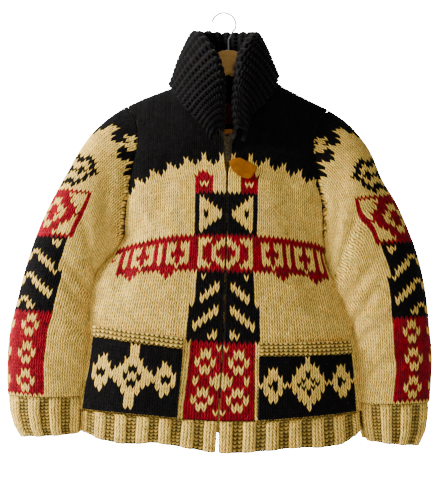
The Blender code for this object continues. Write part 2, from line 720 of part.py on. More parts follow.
def hem_band(panel, hem, surface_y, ribs, edges):
    """Return a hem rib's outer and inner points, from the panel's lower edge to the hem."""
    outer_edge = panel[0][0]
    inner_edge = panel[1][0]
    shares, raised = rib_raise(ribs)
    shares = np.concatenate([[0], shares[1:], [1]])
    raised = np.concatenate([[0], raised[1:], [0]])
    top_outer = path_points(outer_edge, shares)
    top_inner = path_points(inner_edge, shares)
    left_edge, right_edge = edges
    outer = [top_outer - (0, 0, SEAM_GAP)]
    inner = [top_inner - (0, 0, SEAM_GAP)]
    for step in range(1, RIB_ROWS + 1):
        share = step / RIB_ROWS
        x = top_outer[:, 0].copy()
        z = mix(top_outer[:, 2], smooth(hem, "x", "z", x), share)
        x += mix(left_edge(z[0]) - x[0], right_edge(z[-1]) - x[-1], shares)
        y = surface_y(x, z)
        row = np.stack([x, y, z], -1)
        row[[0, -1], 1] = np.where(panel_is_side(outer_edge), outer_edge[[0, -1], 1], row[[0, -1], 1])
        outer.append(row)
    outer = np.array(outer)
    normals = grid_normals(outer)
    if np.sum(normals[..., 1] * (panel[0][0] - panel[1][0])[:, 1].mean()) < 0:
        normals = -normals
    for end, at_side in zip((0, -1), panel_is_side(outer_edge)):
        if at_side:
            normals[:, end, 1] = 0
    normals = unit(normals)
    for step in range(1, RIB_ROWS + 1):
        inner.append(outer[step] - RIB_WALL * normals[step])
        outer[step] = outer[step] + RIB_RAISE * raised[:, None] * normals[step]
    return outer, np.array(inner)


def panel_is_side(edge):
    """Return for each end of a panel's lower edge whether it lies at a side seam."""
    return np.abs(edge[[0, -1], 1] - SIDE_SEAM_Y) < WALL


def cuff(rows, sleeve_outer, sleeve_inner):
    """Return a ribbed cuff's outer and inner points, from the sleeve's end down."""
    shares, raised = rib_raise(CUFF_RIBS)
    last_outer = np.vstack([sleeve_outer[-1], sleeve_outer[-1][:1]])
    last_inner = np.vstack([sleeve_inner[-1], sleeve_inner[-1][:1]])
    turns = rows_between(0, 1, len(last_outer) - 1)
    top_outer = np.stack([np.interp(shares, turns, last_outer[:, axis]) for axis in range(3)], -1)
    top_inner = np.stack([np.interp(shares, turns, last_inner[:, axis]) for axis in range(3)], -1)
    outer = [top_outer - (0, 0, SEAM_GAP)]
    inner = [top_inner - (0, 0, SEAM_GAP)]
    for row in rows:
        ring = ring_point(row, shares)
        outward = unit(ring - ring.mean(axis=0))
        outer.append(ring + RIB_RAISE * raised[:, None] * outward)
        inner.append(ring - RIB_WALL * outward)
    return np.array(outer), np.array(inner)


def neckline_edge(left, right, back):
    """Return the neckline's outer and inner points, from the left front end round to the right."""
    first = neck_start(left)
    sides = []
    for layer in (0, 1):
        left_run = left[layer][first:, -1]
        right_run = right[layer][neck_start(right):, -1][::-1]
        back_run = back[layer][-1, BACK_NECK_FIRST:BACK_NECK_LAST + 1]
        sides.append(np.vstack([left_run, back_run[1:-1], right_run]))
    return sides


def neck_start(panel):
    """Return the first row of a front panel whose edge lies on the neckline."""
    heights = panel[0][:, -1, 2]
    return int(np.argmax(heights >= ZIP_TOP_Z - NECK_SLACK))


def collar(left, right, back):
    """Return the folded collar's two faces: the one that shows, and the one inside the fold."""
    outer_edge, inner_edge = neckline_edge(left, right, back)
    stations = 2 * COLLAR_RIDGES
    places = rows_between(0, 1, stations)
    base_outer = path_points(outer_edge, places)
    lengths = np.concatenate([[0], np.cumsum(np.linalg.norm(np.diff(outer_edge, axis=0), axis=1))])
    lengths /= lengths[-1]
    base_inner = np.stack([np.interp(places, lengths, inner_edge[:, axis]) for axis in range(3)], -1)
    tangent = np.gradient(base_outer, axis=0)
    facing = unit(np.cross(base_outer - base_inner, tangent))
    if facing[stations // 2, 2] < 0:
        facing = -facing
    base = (base_outer + base_inner) / 2 + SEAM_GAP * facing
    roll = np.stack([smooth(COLLAR, "place", name, places) for name in ("roll_x", "roll_y", "roll_z")], -1)
    edge = np.stack([smooth(COLLAR, "place", name, places) for name in ("edge_x", "edge_y", "edge_z")], -1)
    axis = roll - (base + edge) / 2
    spread = unit(np.cross(axis, np.gradient(roll, axis=0)))
    if np.sum(spread * (edge - base)) < 0:
        spread = -spread
    reach = np.linalg.norm(axis, axis=1, keepdims=True)
    axis = unit(axis)
    radius = np.clip(ROLL_SHARE * reach, LEAST_ROLL, ROLL_RADIUS)
    rise = base + 0.5 * (roll - base) - 0.2 * radius * spread
    before = roll - radius * spread - radius * axis
    after = roll + radius * spread - radius * axis
    fall = (after + edge) / 2 + 0.5 * radius * spread
    guide = np.stack([base, rise, before, roll, after, fall, edge], 1)
    centre = np.stack([folded_line(line) for line in guide])
    normals = grid_normals(centre)
    outside = np.sum(normals[:, -1] * spread)
    if outside < 0:
        normals = -normals
    ridge = np.where(np.arange(stations + 1) % 2 == 0, GARTER_RAISE, 0.0)
    shown = centre + (COLLAR_WALL / 2 + ridge[:, None, None]) * normals
    hidden = centre - COLLAR_WALL / 2 * normals
    shown[:, 0] = base_inner + SEAM_GAP * facing
    hidden[:, 0] = base_outer + SEAM_GAP * facing
    return shown, hidden


def folded_line(points):
    """Return points on a smooth curve through a few guide points, closest at the middle one."""
    padded = np.vstack([2 * points[0] - points[1], points, 2 * points[-1] - points[-2]])
    fine = []
    for start in range(len(points) - 1):
        p0, p1, p2, p3 = padded[start:start + 4]
        for t in np.linspace(0, 1, GUIDE_STEPS, endpoint=False):
            fine.append(0.5 * (
                2 * p1 + (p2 - p0) * t + (2 * p0 - 5 * p1 + 4 * p2 - p3) * t**2
                + (3 * p1 - p0 - 3 * p2 + p3) * t**3
            ))
    fine.append(points[-1])
    fine = np.array(fine)
    lengths = np.concatenate([[0], np.cumsum(np.linalg.norm(np.diff(fine, axis=0), axis=1))])
    roll_share = lengths[len(points) // 2 * GUIDE_STEPS] / lengths[-1]
    return path_points(fine, np.interp(COLLAR_STEPS, [0, 0.5, 1], [0, roll_share, 1]))


def between(grid, row, column_at):
    """Return a point of a grid at a row and column that may lie between its own."""
    low = min(int(row), len(grid) - 2)
    left = min(int(column_at), grid.shape[1] - 2)
    low_point = mix(grid[low, left], grid[low, left + 1], column_at - left)
    high_point = mix(grid[low + 1, left], grid[low + 1, left + 1], column_at - left)
    return mix(low_point, high_point, row - low)


def patch(panel, columns, low_z, high_z, rows, thickness):
    """Return a patch's outer and inner points, made from its panel's points and moved out."""
    outer, _, normals = panel
    outside = []
    inside = []
    for share in rows_between(0, 1, rows):
        outside_row = []
        inside_row = []
        for column_at in columns:
            heights = [between(outer, row, column_at)[2] for row in range(BODY_ROWS + 1)]
            x = between(outer, 0, column_at)[0]
            row = np.interp(mix(low_z(x), high_z(x), share), heights, range(BODY_ROWS + 1))
            point = between(outer, row, column_at)
            normal = unit(between(normals, row, column_at))
            outside_row.append(point + (POCKET_GAP + thickness) * normal)
            inside_row.append(point + POCKET_GAP * normal)
        outside.append(outside_row)
        inside.append(inside_row)
    return np.array(outside), np.array(inside)


def pocket_walls(pocket, panel):
    """Return a pocket's own walls and its thicker top band's."""
    def top(x):
        return np.interp(x, [pocket.left, pocket.right], [pocket.top_left, pocket.top_right])

    def band_foot(x):
        return top(x) - pocket.band

    def body_top(x):
        return band_foot(x) - SEAM_GAP

    def foot(x):
        return rib_line(x) + POCKET_LIFT

    middle_x = panel[0][POCKET_MIDDLE_ROW, :, 0]
    order = np.argsort(middle_x)
    ends = np.interp([pocket.left, pocket.right], middle_x[order], np.arange(len(middle_x))[order])
    first, last = sorted(ends)
    inside = [at for at in range(len(middle_x)) if first + 0.2 < at < last - 0.2]
    columns = [first, *inside, last]
    body = patch(panel, columns, foot, body_top, POCKET_ROWS, POCKET_WALL)
    band = patch(panel, columns, band_foot, top, 2, BAND_WALL)
    return body, band


def front_inner_y(x, z):
    """Return the front's inner surface at a place."""
    step = 1.0
    slope_x = (front_y(x + step, z) - front_y(x - step, z)) / (2 * step)
    slope_z = (front_y(x, z + step) - front_y(x, z - step)) / (2 * step)
    return front_y(x, z) + WALL * np.sqrt(1 + slope_x**2 + slope_z**2)


def back_inner_y(x, z):
    """Return the back's inner surface at a place."""
    step = 1.0
    slope_x = (back_y(x + step, z) - back_y(x - step, z)) / (2 * step)
    slope_z = (back_y(x, z + step) - back_y(x, z - step)) / (2 * step)
    return back_y(x, z) - WALL * np.sqrt(1 + slope_x**2 + slope_z**2)


def zip_strip(start_x, end_x, front_gap, thickness, top_z, end_z):
    """Return a zip strip's front and back points, just behind the fronts' inner faces."""
    rows = []
    for z in np.linspace(top_z, end_z, ZIP_ROWS + 1):
        middle = float(smooth(OPENING, "z", "middle", z))
        x = np.array([middle + start_x, middle + (start_x + end_x) / 2, middle + end_x])
        y = front_inner_y(x, np.full(3, z)) + front_gap
        rows.append(np.stack([x, y, np.full(3, z)], -1))
    front = np.array(rows)
    return front, front + (0, thickness, 0)


def shade(name):
    """Return the material of one of the sweater's stuffs."""
    material = bpy.data.materials.get(name) or bpy.data.materials.new(name)
    material.use_nodes = True
    node = material.node_tree.nodes["Principled BSDF"]
    node.inputs["Base Color"].default_value = (*COLOURS[name], 1)
    node.inputs["Roughness"].default_value = ROUGHNESS[name]
    node.inputs["Metallic"].default_value = 1.0 if name in METALS else 0.0
    material.diffuse_color = (*COLOURS[name], 1)
    return material


def keep(thing, name, material, collection):
    """Name an object, give it its material and put it in the sweater's collection."""
    thing.name = name
    thing.data.name = name
    thing.data.materials.clear()
    thing.data.materials.append(shade(material))
    for owner in list(thing.users_collection):
        owner.objects.unlink(thing)
    collection.objects.link(thing)
    return thing


def rim_faces(build, shown, hidden):
    """Close a wall's edge between two points, split from the lower outer point at every seam."""
    lower = 0 if shown[0].co.z <= shown[1].co.z else 1
    upper = 1 - lower
    build.faces.new((shown[lower], shown[upper], hidden[upper]))
    build.faces.new((shown[lower], hidden[upper], hidden[lower]))


def wall_object(name, outer, inner, material, collection, closed=False):
    """Build a closed wall between two grids of points, joined around its free edges."""
    rows, columns = outer.shape[:2]
    mesh = bpy.data.meshes.new(name)
    build = bmesh.new()
    layers = []
    for grid in (outer, inner):
        points = metres(grid)
        layers.append([[build.verts.new(point) for point in row] for row in points])
    span = columns if closed else columns - 1
    for row in range(rows - 1):
        for start in range(span):
            end = (start + 1) % columns
            for layer in layers:
                low, high = layer[row], layer[row + 1]
                build.faces.new((low[start], low[end], high[end], high[start]))
    rims = [[layer[row] + layer[row][:1] * closed for layer in layers] for row in (0, rows - 1)]
    if not closed:
        rims += [[[row[side] for row in layer] for layer in layers] for side in (0, columns - 1)]
    for shown, hidden in rims:
        for start in range(len(shown) - 1):
            rim_faces(build, shown[start:start + 2], hidden[start:start + 2])
    bmesh.ops.recalc_face_normals(build, faces=build.faces)
    build.to_mesh(mesh)
    build.free()
    mesh.shade_smooth()
    thing = bpy.data.objects.new(name, mesh)
    return keep(thing, name, material, collection)


def flat_shape(name, loops, place, thickness, rounding, material, collection, lean=0.0):
    """Cut a flat shape from loops in the XZ plane, with softened edges, its origin at a place."""
    curve = bpy.data.curves.new(name, "CURVE")
    curve.dimensions = "2D"
    curve.fill_mode = "BOTH"
    curve.extrude = (thickness / 2 - rounding) * 0.001
    curve.bevel_depth = rounding * 0.001
    curve.bevel_resolution = 1
    curve.offset = -rounding * 0.001
    for loop in loops:
        spline = curve.splines.new("POLY")
        spline.points.add(len(loop) - 1)
        for target, (x, z) in zip(spline.points, loop):
            target.co = ((x - place[0]) * 0.001, (z - place[2]) * 0.001, 0, 1)
        spline.use_cyclic_u = True
    thing = bpy.data.objects.new(name, curve)
    thing.rotation_euler = (np.pi / 2 - lean, 0, 0)
    thing.location = metres(place)
    return keep(thing, name, material, collection)


def wire(name, points, diameter, material, collection, closed=False):
    """Bend a round wire along a path."""
    curve = bpy.data.curves.new(name, "CURVE")
    curve.dimensions = "3D"
    curve.bevel_depth = diameter / 2 * 0.001
    curve.bevel_resolution = 2
    curve.use_fill_caps = not closed
    spline = curve.splines.new("POLY")
    spline.points.add(len(points) - 1)
    for target, point in zip(spline.points, metres(points)):
        target.co = (*point, 1)
    spline.use_cyclic_u = closed
    return keep(bpy.data.objects.new(name, curve), name, material, collection)


def box(name, low, high, rounding, material, collection):
    """Make a block between two corners, with bevelled edges."""
    low = metres(low)
    high = metres(high)
    bpy.ops.mesh.primitive_cube_add(size=1, location=(low + high) / 2)
    thing = bpy.context.object
    thing.scale = high - low
    bpy.ops.object.transform_apply(location=False, rotation=False, scale=True)
    bevel = thing.modifiers.new("Rounded edges", "BEVEL")
    bevel.width = rounding * 0.001
    bevel.segments = 2
    return keep(thing, name, material, collection)


def build_body(collection):
    """Build the fronts, the back and their hem ribs."""
    left = front_panel("left")
    right = front_panel("right")
    back = back_panel()
    wall_object("front_left", *left[:2], "cream_wool", collection)
    wall_object("front_right", *right[:2], "cream_wool", collection)
    wall_object("back", *back[:2], "cream_wool", collection)

    def left_side(z):
        return smooth(BODY, "z", "left", z)

    def right_side(z):
        return smooth(BODY, "z", "right", z)

    def left_opening(z):
        return smooth(OPENING, "z", "middle", z) - straight(OPENING, "z", "half_gap", z)

    def right_opening(z):
        return smooth(OPENING, "z", "middle", z) + straight(OPENING, "z", "half_gap", z)

    bands = (
        ("hem_rib_front_left", left, FRONT_HEM, front_y, FRONT_RIBS, (left_side, left_opening)),
        ("hem_rib_front_right", right, FRONT_HEM, front_y, FRONT_RIBS, (right_side, right_opening)),
        ("hem_rib_back", back, BACK_HEM, back_y, BACK_RIBS, (left_side, right_side)),
    )
    for name, panel, hem, surface, ribs, edges in bands:
        wall_object(name, *hem_band(panel, hem, surface, ribs, edges), "cream_wool", collection)
    return left, right, back


def build_sleeves(left, right, back, collection):
    """Build both sleeves and their ribbed cuffs."""
    for side, front, cuff_rows in (("left", left, LEFT_CUFF), ("right", right, RIGHT_CUFF)):
        outer, inner = sleeve(side, front, back)
        wall_object("sleeve_" + side, outer, inner, "cream_wool", collection, closed=True)
        band = cuff(cuff_rows, outer, inner)
        wall_object("cuff_" + side, *band, "cream_wool", collection, closed=True)


def build_pockets(left, right, collection):
    """Build the patch pockets and their bands."""
    for pocket, panel in zip(POCKETS, (left, right)):
        body, band = pocket_walls(pocket, panel)
        wall_object("pocket_" + pocket.side, *body, "dark_wool", collection)
        wall_object("pocket_band_" + pocket.side, *band, "cream_wool", collection)


def build_zip(collection):
    """Build the zip's tapes, chain, slider and pull."""
    half = ZIP_CHAIN_WIDTH / 2
    chain_top = TAPE_END_TOP_Z
    strips = (
        ("zip_tape_left", -half - SEAM_GAP - ZIP_TAPE_WIDTH, -half - SEAM_GAP, ZIP_TAPE_THICKNESS),
        ("zip_tape_right", half + SEAM_GAP, half + SEAM_GAP + ZIP_TAPE_WIDTH, ZIP_TAPE_THICKNESS),
        ("zip_chain", -half, half, ZIP_CHAIN_THICKNESS),
    )
    for name, start_x, end_x, thickness in strips:
        stuff = "brass" if name == "zip_chain" else "zip_tape"
        strip = zip_strip(start_x, end_x, ZIP_LAY_GAP, thickness, chain_top, ZIP_END_Z)
        wall_object(name, *strip, stuff, collection)
    middle = float(smooth(OPENING, "z", "middle", SLIDER_TOP_Z))
    face_y = float(front_y(middle, SLIDER_TOP_Z - SLIDER_LENGTH / 2)) - SLIDER_RAISE
    low = (middle - SLIDER_WIDTH / 2, face_y, SLIDER_TOP_Z - SLIDER_LENGTH)
    high = (middle + SLIDER_WIDTH / 2, face_y + SLIDER_DEPTH, SLIDER_TOP_Z)
    box("zip_slider", low, high, SLIDER_ROUNDING, "brass", collection)
    end_heights = np.array([TAPE_END_TOP_Z, TAPE_END_TOP_Z - TAPE_END_HEIGHT])
    chain_y = front_inner_y(np.full(2, middle), end_heights) + ZIP_LAY_GAP
    end_y = float(chain_y.min()) - SEAM_GAP
    low = (middle - TAPE_END_WIDTH / 2, end_y - ZIP_TAPE_THICKNESS, TAPE_END_TOP_Z - TAPE_END_HEIGHT)
    high = (middle + TAPE_END_WIDTH / 2, end_y, TAPE_END_TOP_Z)
    box("zip_tape_end", low, high, THIN_ROUNDING, "leather", collection)
    build_pull(middle, face_y, collection)


def build_pull(middle, face_y, collection):
    """Build the slider's bail, and the metal pull and leather tab that swing on it."""
    axis_y = face_y - PULL_REACH
    bail = [(middle, face_y - point.out, PULL_AXIS_Z + point.up) for point in BAIL]
    wire("zip_bail", bail, BAIL_WIRE, "brass", collection)
    axis = bpy.data.objects.new("Zip pull axis", None)
    axis.location = metres((middle, axis_y, PULL_AXIS_Z))
    collection.objects.link(axis)
    tab_back_y = min(float(front_y(point.x, point.z)) for point in LEATHER) - TAB_LAY_GAP
    foot_y = tab_back_y + SEAM_GAP + PULL_THICKNESS / 2
    lean = np.arctan2(axis_y - foot_y, PULL_AXIS_Z - PULL_FOOT_Z)
    half = PULL_WIDTH / 2
    outline = [
        (middle - half, PULL_AXIS_Z + PULL_EYE_TOP), (middle + half, PULL_AXIS_Z + PULL_EYE_TOP),
        (middle + half, PULL_FOOT_Z), (middle - half, PULL_FOOT_Z),
    ]
    eye = [
        (middle - PULL_EYE_HALF, PULL_AXIS_Z - PULL_EYE_TOP),
        (middle + PULL_EYE_HALF, PULL_AXIS_Z - PULL_EYE_TOP),
        (middle + PULL_EYE_HALF, PULL_AXIS_Z - PULL_EYE_FOOT),
        (middle - PULL_EYE_HALF, PULL_AXIS_Z - PULL_EYE_FOOT),
    ]
    place = (middle, axis_y, PULL_AXIS_Z)
    pull = flat_shape(
        "zip_pull", (outline, eye), place, PULL_THICKNESS, THIN_ROUNDING, "brass", collection, lean
    )
    place = (middle, tab_back_y - LEATHER_THICKNESS / 2, PULL_AXIS_Z)
    tab_outline = [(point.x, point.z) for point in LEATHER]
    tab = flat_shape(
        "zip_leather_tab", (tab_outline,), place, LEATHER_THICKNESS, LEATHER_ROUNDING, "leather", collection
    )
    for piece in (pull, tab):
        piece.parent = axis
        piece.location -= axis.location


def build_hanger(collection):
    """Build the wooden hanger and its wire hook."""
    right = [(point.out, point.z) for point in HANGER_TOP + HANGER_BOTTOM]
    left = [(-out, z + HANGER_TILT * out / HANGER_TOP[-1].out) for out, z in right[::-1]]
    outline = [(HANGER_MIDDLE_X + out, z) for out, z in right + left[1:-1]]
    place = (HANGER_MIDDLE_X, 0, 0)
    flat_shape("hanger_wood", (outline,), place, HANGER_THICKNESS, HANGER_ROUNDING, "beech", collection)
    centre_z = HOOK_WIRE / 2 - HOOK_RADIUS
    angles = np.radians(np.linspace(HOOK_START, HOOK_END, HOOK_STEPS))
    arc = [
        (HOOK_TOP_X + HOOK_RADIUS * np.cos(angle), 0, centre_z + HOOK_RADIUS * np.sin(angle))
        for angle in angles
    ]
    stem = [(HANGER_MIDDLE_X + point.aside, 0, point.z) for point in HOOK_STEM]
    wire("hanger_hook", stem + arc, HOOK_WIRE, "steel", collection)


def build_label(collection):
    """Build the blank label inside the back's neck."""
    across = rows_between(LABEL_LEFT, LABEL_RIGHT, 4)
    near = []
    for z in rows_between(LABEL_BOTTOM, LABEL_TOP, 3):
        y = back_inner_y(across, np.full(across.shape, z)) - LABEL_LAY_GAP
        near.append(np.stack([across, y, np.full(across.shape, z)], -1))
    near = np.array(near)
    wall_object("neck_label", near - (0, LABEL_THICKNESS, 0), near, "label", collection)


def main():
    """Build the whole sweater on its hanger."""
    clear_scene()
    collection = bpy.data.collections.new("Cowichan sweater on a hanger")
    bpy.context.scene.collection.children.link(collection)
    left, right, back = build_body(collection)
    build_sleeves(left, right, back, collection)
    wall_object("collar", *collar(left, right, back), "dark_wool", collection)
    build_pockets(left, right, collection)
    build_zip(collection)
    build_hanger(collection)
    build_label(collection)


main()
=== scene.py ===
"""Dress the hanging cowichan sweater in real stitches, with its zip, leather tab and hanger.

The tables and sizes are in millimetres, with x measured from the photo's middle line, as in the
part's own source. to_metres() turns them into the frame's metres. The front faces -Y.
"""
from __future__ import annotations

import logging
from collections.abc import Callable, Sequence
from dataclasses import dataclass, field
from enum import Enum, IntEnum
from typing import NamedTuple

import bmesh
import bpy
import numpy as np
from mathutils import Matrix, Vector


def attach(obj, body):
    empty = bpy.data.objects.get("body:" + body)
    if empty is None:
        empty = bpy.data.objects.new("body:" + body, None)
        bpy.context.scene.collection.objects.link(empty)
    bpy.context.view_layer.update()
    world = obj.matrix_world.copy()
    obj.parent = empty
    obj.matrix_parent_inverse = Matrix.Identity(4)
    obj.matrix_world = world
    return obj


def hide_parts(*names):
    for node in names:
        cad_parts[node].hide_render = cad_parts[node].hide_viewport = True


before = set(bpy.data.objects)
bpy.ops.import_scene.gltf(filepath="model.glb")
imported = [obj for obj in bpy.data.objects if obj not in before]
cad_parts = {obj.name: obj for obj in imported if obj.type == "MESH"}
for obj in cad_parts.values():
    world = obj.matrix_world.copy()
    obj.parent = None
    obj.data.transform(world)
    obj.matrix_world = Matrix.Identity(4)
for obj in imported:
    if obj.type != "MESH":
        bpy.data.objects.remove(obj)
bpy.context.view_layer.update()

LOG = logging.getLogger("sweater")
SEED = 41

HOOK_TOP_X = -5.7
WALL = 5.0
RIB_WALL = 4.4
RIB_RAISE = 2.4
COLLAR_WALL = 5.0
POCKET_WALL = 4.2
BAND_WALL = 6.5
POCKET_GAP = 0.9
SEAM_GAP = 0.3
ARMPIT_Z = -430.0
SIDE_SEAM_Y = -6.0
ZIP_TOP_Z = -250.0
SHOULDER_ROUNDING = 150.0
SECTION_POWER = 2.6
SLEEVE_POWER = 2.2
BACK_NECK_DROP = 10.0

# The solids' own divisions, and how many times finer the cloth is divided here
BODY_ROWS = 10
ARMHOLE_ROWS = 10
FRONT_COLUMNS = 12
BACK_COLUMNS = 22
BACK_NECK_LEFT = 7
BACK_NECK_RIGHT = 15
FINER_ROWS = 6
FINER_COLUMNS = 5
SLEEVE_RINGS = 90

# A stitch's size, measured in the photo, and the wales of each front
WALE = 8.8
COURSE = 6.45
FRONT_WALES = 28

# How deep a cloth's cut edge lies
EDGE_DEPTH = -1.0

# The search for a place on the cloth: its steps, its limits in grid cells, and its end in stitches
SEARCH_STEPS = 30
LONGEST_STEP = 3.0
LEAST_SLOPE = 0.006
NEAR_ENOUGH = 0.02


class Yarn(IntEnum):
    """The three yarns."""

    CREAM = 0
    DARK = 1
    RED = 2


class Stitch(IntEnum):
    """How a stitch shows: its smooth face, or the bump of its back."""

    KNIT = 0
    PURL = 1


class Side(Enum):
    """A side of the sweater, as the photo shows it."""

    LEFT = "left"
    RIGHT = "right"

    @property
    def sign(self) -> int:
        """Return -1 on the photo's left and 1 on its right."""
        return -1 if self is Side.LEFT else 1


class BodyRow(NamedTuple):
    """The body's width and depth at one height."""

    z: float
    left: float
    right: float
    front: float
    back: float


class LinePoint(NamedTuple):
    """A point of a line seen from the front."""

    x: float
    z: float


class EdgePoint(NamedTuple):
    """A point of an upright edge, read by its height."""

    z: float
    x: float


class OpeningRow(NamedTuple):
    """The zip's middle line, and half the gap between the front edges."""

    z: float
    middle: float
    half_gap: float


class Fold(NamedTuple):
    """A soft trough along a line."""

    x_top: float
    z_top: float
    x_low: float
    z_low: float
    width: float
    depth: float


class SleeveRow(NamedTuple):
    """A sleeve's section: its outer and underarm edges, its middle and half its depth."""

    outer_x: float
    outer_z: float
    inner_x: float
    inner_z: float
    middle_y: float
    half_depth: float


class Crease(NamedTuple):
    """A soft crease in a sleeve, along it and around it."""

    along: float
    around: float
    reach: float
    width: float
    slant: float
    depth: float


class CollarRow(NamedTuple):
    """The collar's roll and free edge at one place along the neckline."""

    place: float
    roll_x: float
    roll_y: float
    roll_z: float
    edge_x: float
    edge_y: float
    edge_z: float


class Pocket(NamedTuple):
    """A patch pocket's sides, sloping top and band."""

    side: Side
    left: float
    right: float
    top_left: float
    top_right: float
    band: float


BODY = (
    BodyRow(-820, -278, 253, 68, 50),
    BodyRow(-780, -276, 252, 70, 50),
    BodyRow(-720, -271, 246, 74, 51),
    BodyRow(-660, -259, 240, 77, 52),
    BodyRow(-600, -252, 230, 78, 52),
    BodyRow(-545, -250, 207, 77, 54),
    BodyRow(-510, -243, 192, 76, 55),
    BodyRow(-480, -226, 176, 75, 55),
    BodyRow(-455, -200, 170, 74, 56),
    BodyRow(-430, -191, 178, 74, 56),
    BodyRow(-400, -196, 186, 73, 56),
    BodyRow(-350, -200, 190, 71, 56),
    BodyRow(-250, -200, 193, 65, 53),
    BodyRow(-176, -200, 195, 54, 47),
    BodyRow(-96, -200, 195, 46, 44),
)
FRONT_HEM = (
    LinePoint(-280, -786), LinePoint(-243, -797), LinePoint(-184, -804), LinePoint(-133, -801),
    LinePoint(-89, -807), LinePoint(-34, -816), LinePoint(0, -819), LinePoint(66, -816),
    LinePoint(122, -811), LinePoint(215, -807), LinePoint(236, -801), LinePoint(256, -786),
)
RIB_LINE = (
    LinePoint(-280, -744), LinePoint(-184, -748), LinePoint(-60, -757), LinePoint(0, -760),
    LinePoint(66, -759), LinePoint(150, -754), LinePoint(256, -748),
)
BACK_HEM = (LinePoint(-280, -786), LinePoint(-140, -799), LinePoint(0, -804), LinePoint(256, -786))
SHOULDER_LINE = (
    LinePoint(-205, -183), LinePoint(-189, -176), LinePoint(-150, -159), LinePoint(-104, -142),
    LinePoint(-78, -122), LinePoint(0, -94), LinePoint(78, -118), LinePoint(108, -141),
    LinePoint(153, -164), LinePoint(193, -183), LinePoint(208, -190),
)
FRONT_ARMHOLES = {
    Side.LEFT: (
        EdgePoint(-430, -191), EdgePoint(-364, -186), EdgePoint(-307, -178),
        EdgePoint(-240, -166), EdgePoint(-205, -172), EdgePoint(-176, -189),
    ),
    Side.RIGHT: (
        EdgePoint(-430, 178), EdgePoint(-375, 176), EdgePoint(-300, 165),
        EdgePoint(-240, 162), EdgePoint(-210, 173), EdgePoint(-183, 193),
    ),
}
BACK_ARMHOLES = {
    Side.LEFT: (
        EdgePoint(-430, -191), EdgePoint(-364, -184), EdgePoint(-300, -178),
        EdgePoint(-240, -174), EdgePoint(-205, -178), EdgePoint(-176, -189),
    ),
    Side.RIGHT: (
        EdgePoint(-430, 178), EdgePoint(-375, 177), EdgePoint(-300, 172),
        EdgePoint(-240, 172), EdgePoint(-210, 180), EdgePoint(-183, 193),
    ),
}
OPENING = (
    OpeningRow(-822, -19, 2.8), OpeningRow(-760, -16, 1.6), OpeningRow(-620, -8, 1.4),
    OpeningRow(-449, -2, 1.4), OpeningRow(-310, 0.5, 1.6), OpeningRow(-284, 1, 6.5),
    OpeningRow(-250, 1, 8.5),
)
NECKLINES = {
    Side.LEFT: (
        LinePoint(-7.5, -250), LinePoint(-25, -222), LinePoint(-46, -188), LinePoint(-65, -152),
        LinePoint(-78, -122),
    ),
    Side.RIGHT: (
        LinePoint(9.5, -250), LinePoint(27, -222), LinePoint(46, -186), LinePoint(65, -150),
        LinePoint(78, -118),
    ),
}
FRONT_FOLDS = (
    Fold(-168, -405, -196, -520, 17, 7.0),
    Fold(156, -405, 158, -530, 17, 7.0),
    Fold(-112, -300, -142, -470, 24, 3.5),
    Fold(112, -300, 128, -480, 24, 3.5),
    Fold(-60, -330, -70, -500, 30, 2.0),
)
BACK_FOLDS = (
    Fold(-112, -220, -134, -560, 26, 6.0),
    Fold(-20, -300, -24, -640, 28, 3.5),
    Fold(92, -220, 112, -560, 26, 6.0),
)
SLEEVES = {
    Side.LEFT: (
        SleeveRow(-189, -176, -191, -430, -5, 47),
        SleeveRow(-222, -199, -199, -446, -8, 49),
        SleeveRow(-247, -222, -208, -456, -10, 50),
        SleeveRow(-270, -252, -222, -468, -12, 49),
        SleeveRow(-298, -301, -240, -484, -14, 48),
        SleeveRow(-327, -354, -252, -507, -15, 47),
        SleeveRow(-353, -411, -258, -537, -16, 46),
        SleeveRow(-376, -479, -261, -575, -17, 45),
        SleeveRow(-392, -541, -262, -612, -18, 44),
        SleeveRow(-405, -592, -265, -648, -18, 43),
        SleeveRow(-411, -650, -271, -686, -18, 42),
        SleeveRow(-411, -718, -279, -720, -18, 41),
    ),
    Side.RIGHT: (
        SleeveRow(193, -183, 178, -430, -5, 47),
        SleeveRow(226, -208, 183, -448, -8, 49),
        SleeveRow(250, -235, 184, -464, -10, 50),
        SleeveRow(268, -262, 188, -482, -12, 49),
        SleeveRow(292, -318, 198, -506, -14, 48),
        SleeveRow(316, -358, 211, -535, -15, 47),
        SleeveRow(335, -399, 223, -560, -16, 46),
        SleeveRow(356, -455, 236, -595, -17, 45),
        SleeveRow(370, -516, 242, -628, -18, 44),
        SleeveRow(379, -590, 246, -662, -18, 43),
        SleeveRow(384, -650, 251, -698, -18, 42),
        SleeveRow(380, -731, 256, -733, -18, 41),
    ),
}
CUFFS = {
    Side.LEFT: (
        SleeveRow(-408, -724, -281, -724, -18, 39),
        SleeveRow(-405, -752, -283, -752, -18, 37),
        SleeveRow(-398, -777, -284, -776, -18, 36),
        SleeveRow(-388, -795, -284, -790, -18, 35),
    ),
    Side.RIGHT: (
        SleeveRow(377, -737, 260, -737, -18, 39),
        SleeveRow(375, -762, 262, -760, -18, 37),
        SleeveRow(371, -788, 265, -784, -18, 36),
        SleeveRow(360, -812, 270, -804, -18, 35),
    ),
}
SLEEVE_CREASES = (
    Crease(0.10, 0.30, 0.13, 0.035, 0.30, 4.0),
    Crease(0.24, 0.40, 0.12, 0.030, 0.25, 6.0),
    Crease(0.36, 0.38, 0.13, 0.030, -0.15, 5.5),
    Crease(0.48, 0.40, 0.12, 0.028, 0.20, 5.0),
    Crease(0.60, 0.36, 0.14, 0.028, -0.20, 4.0),
    Crease(0.80, 0.30, 0.16, 0.030, 0.15, 3.5),
    Crease(0.34, 0.68, 0.12, 0.032, 0.20, 5.0),
    Crease(0.56, 0.70, 0.12, 0.030, -0.20, 4.5),
)
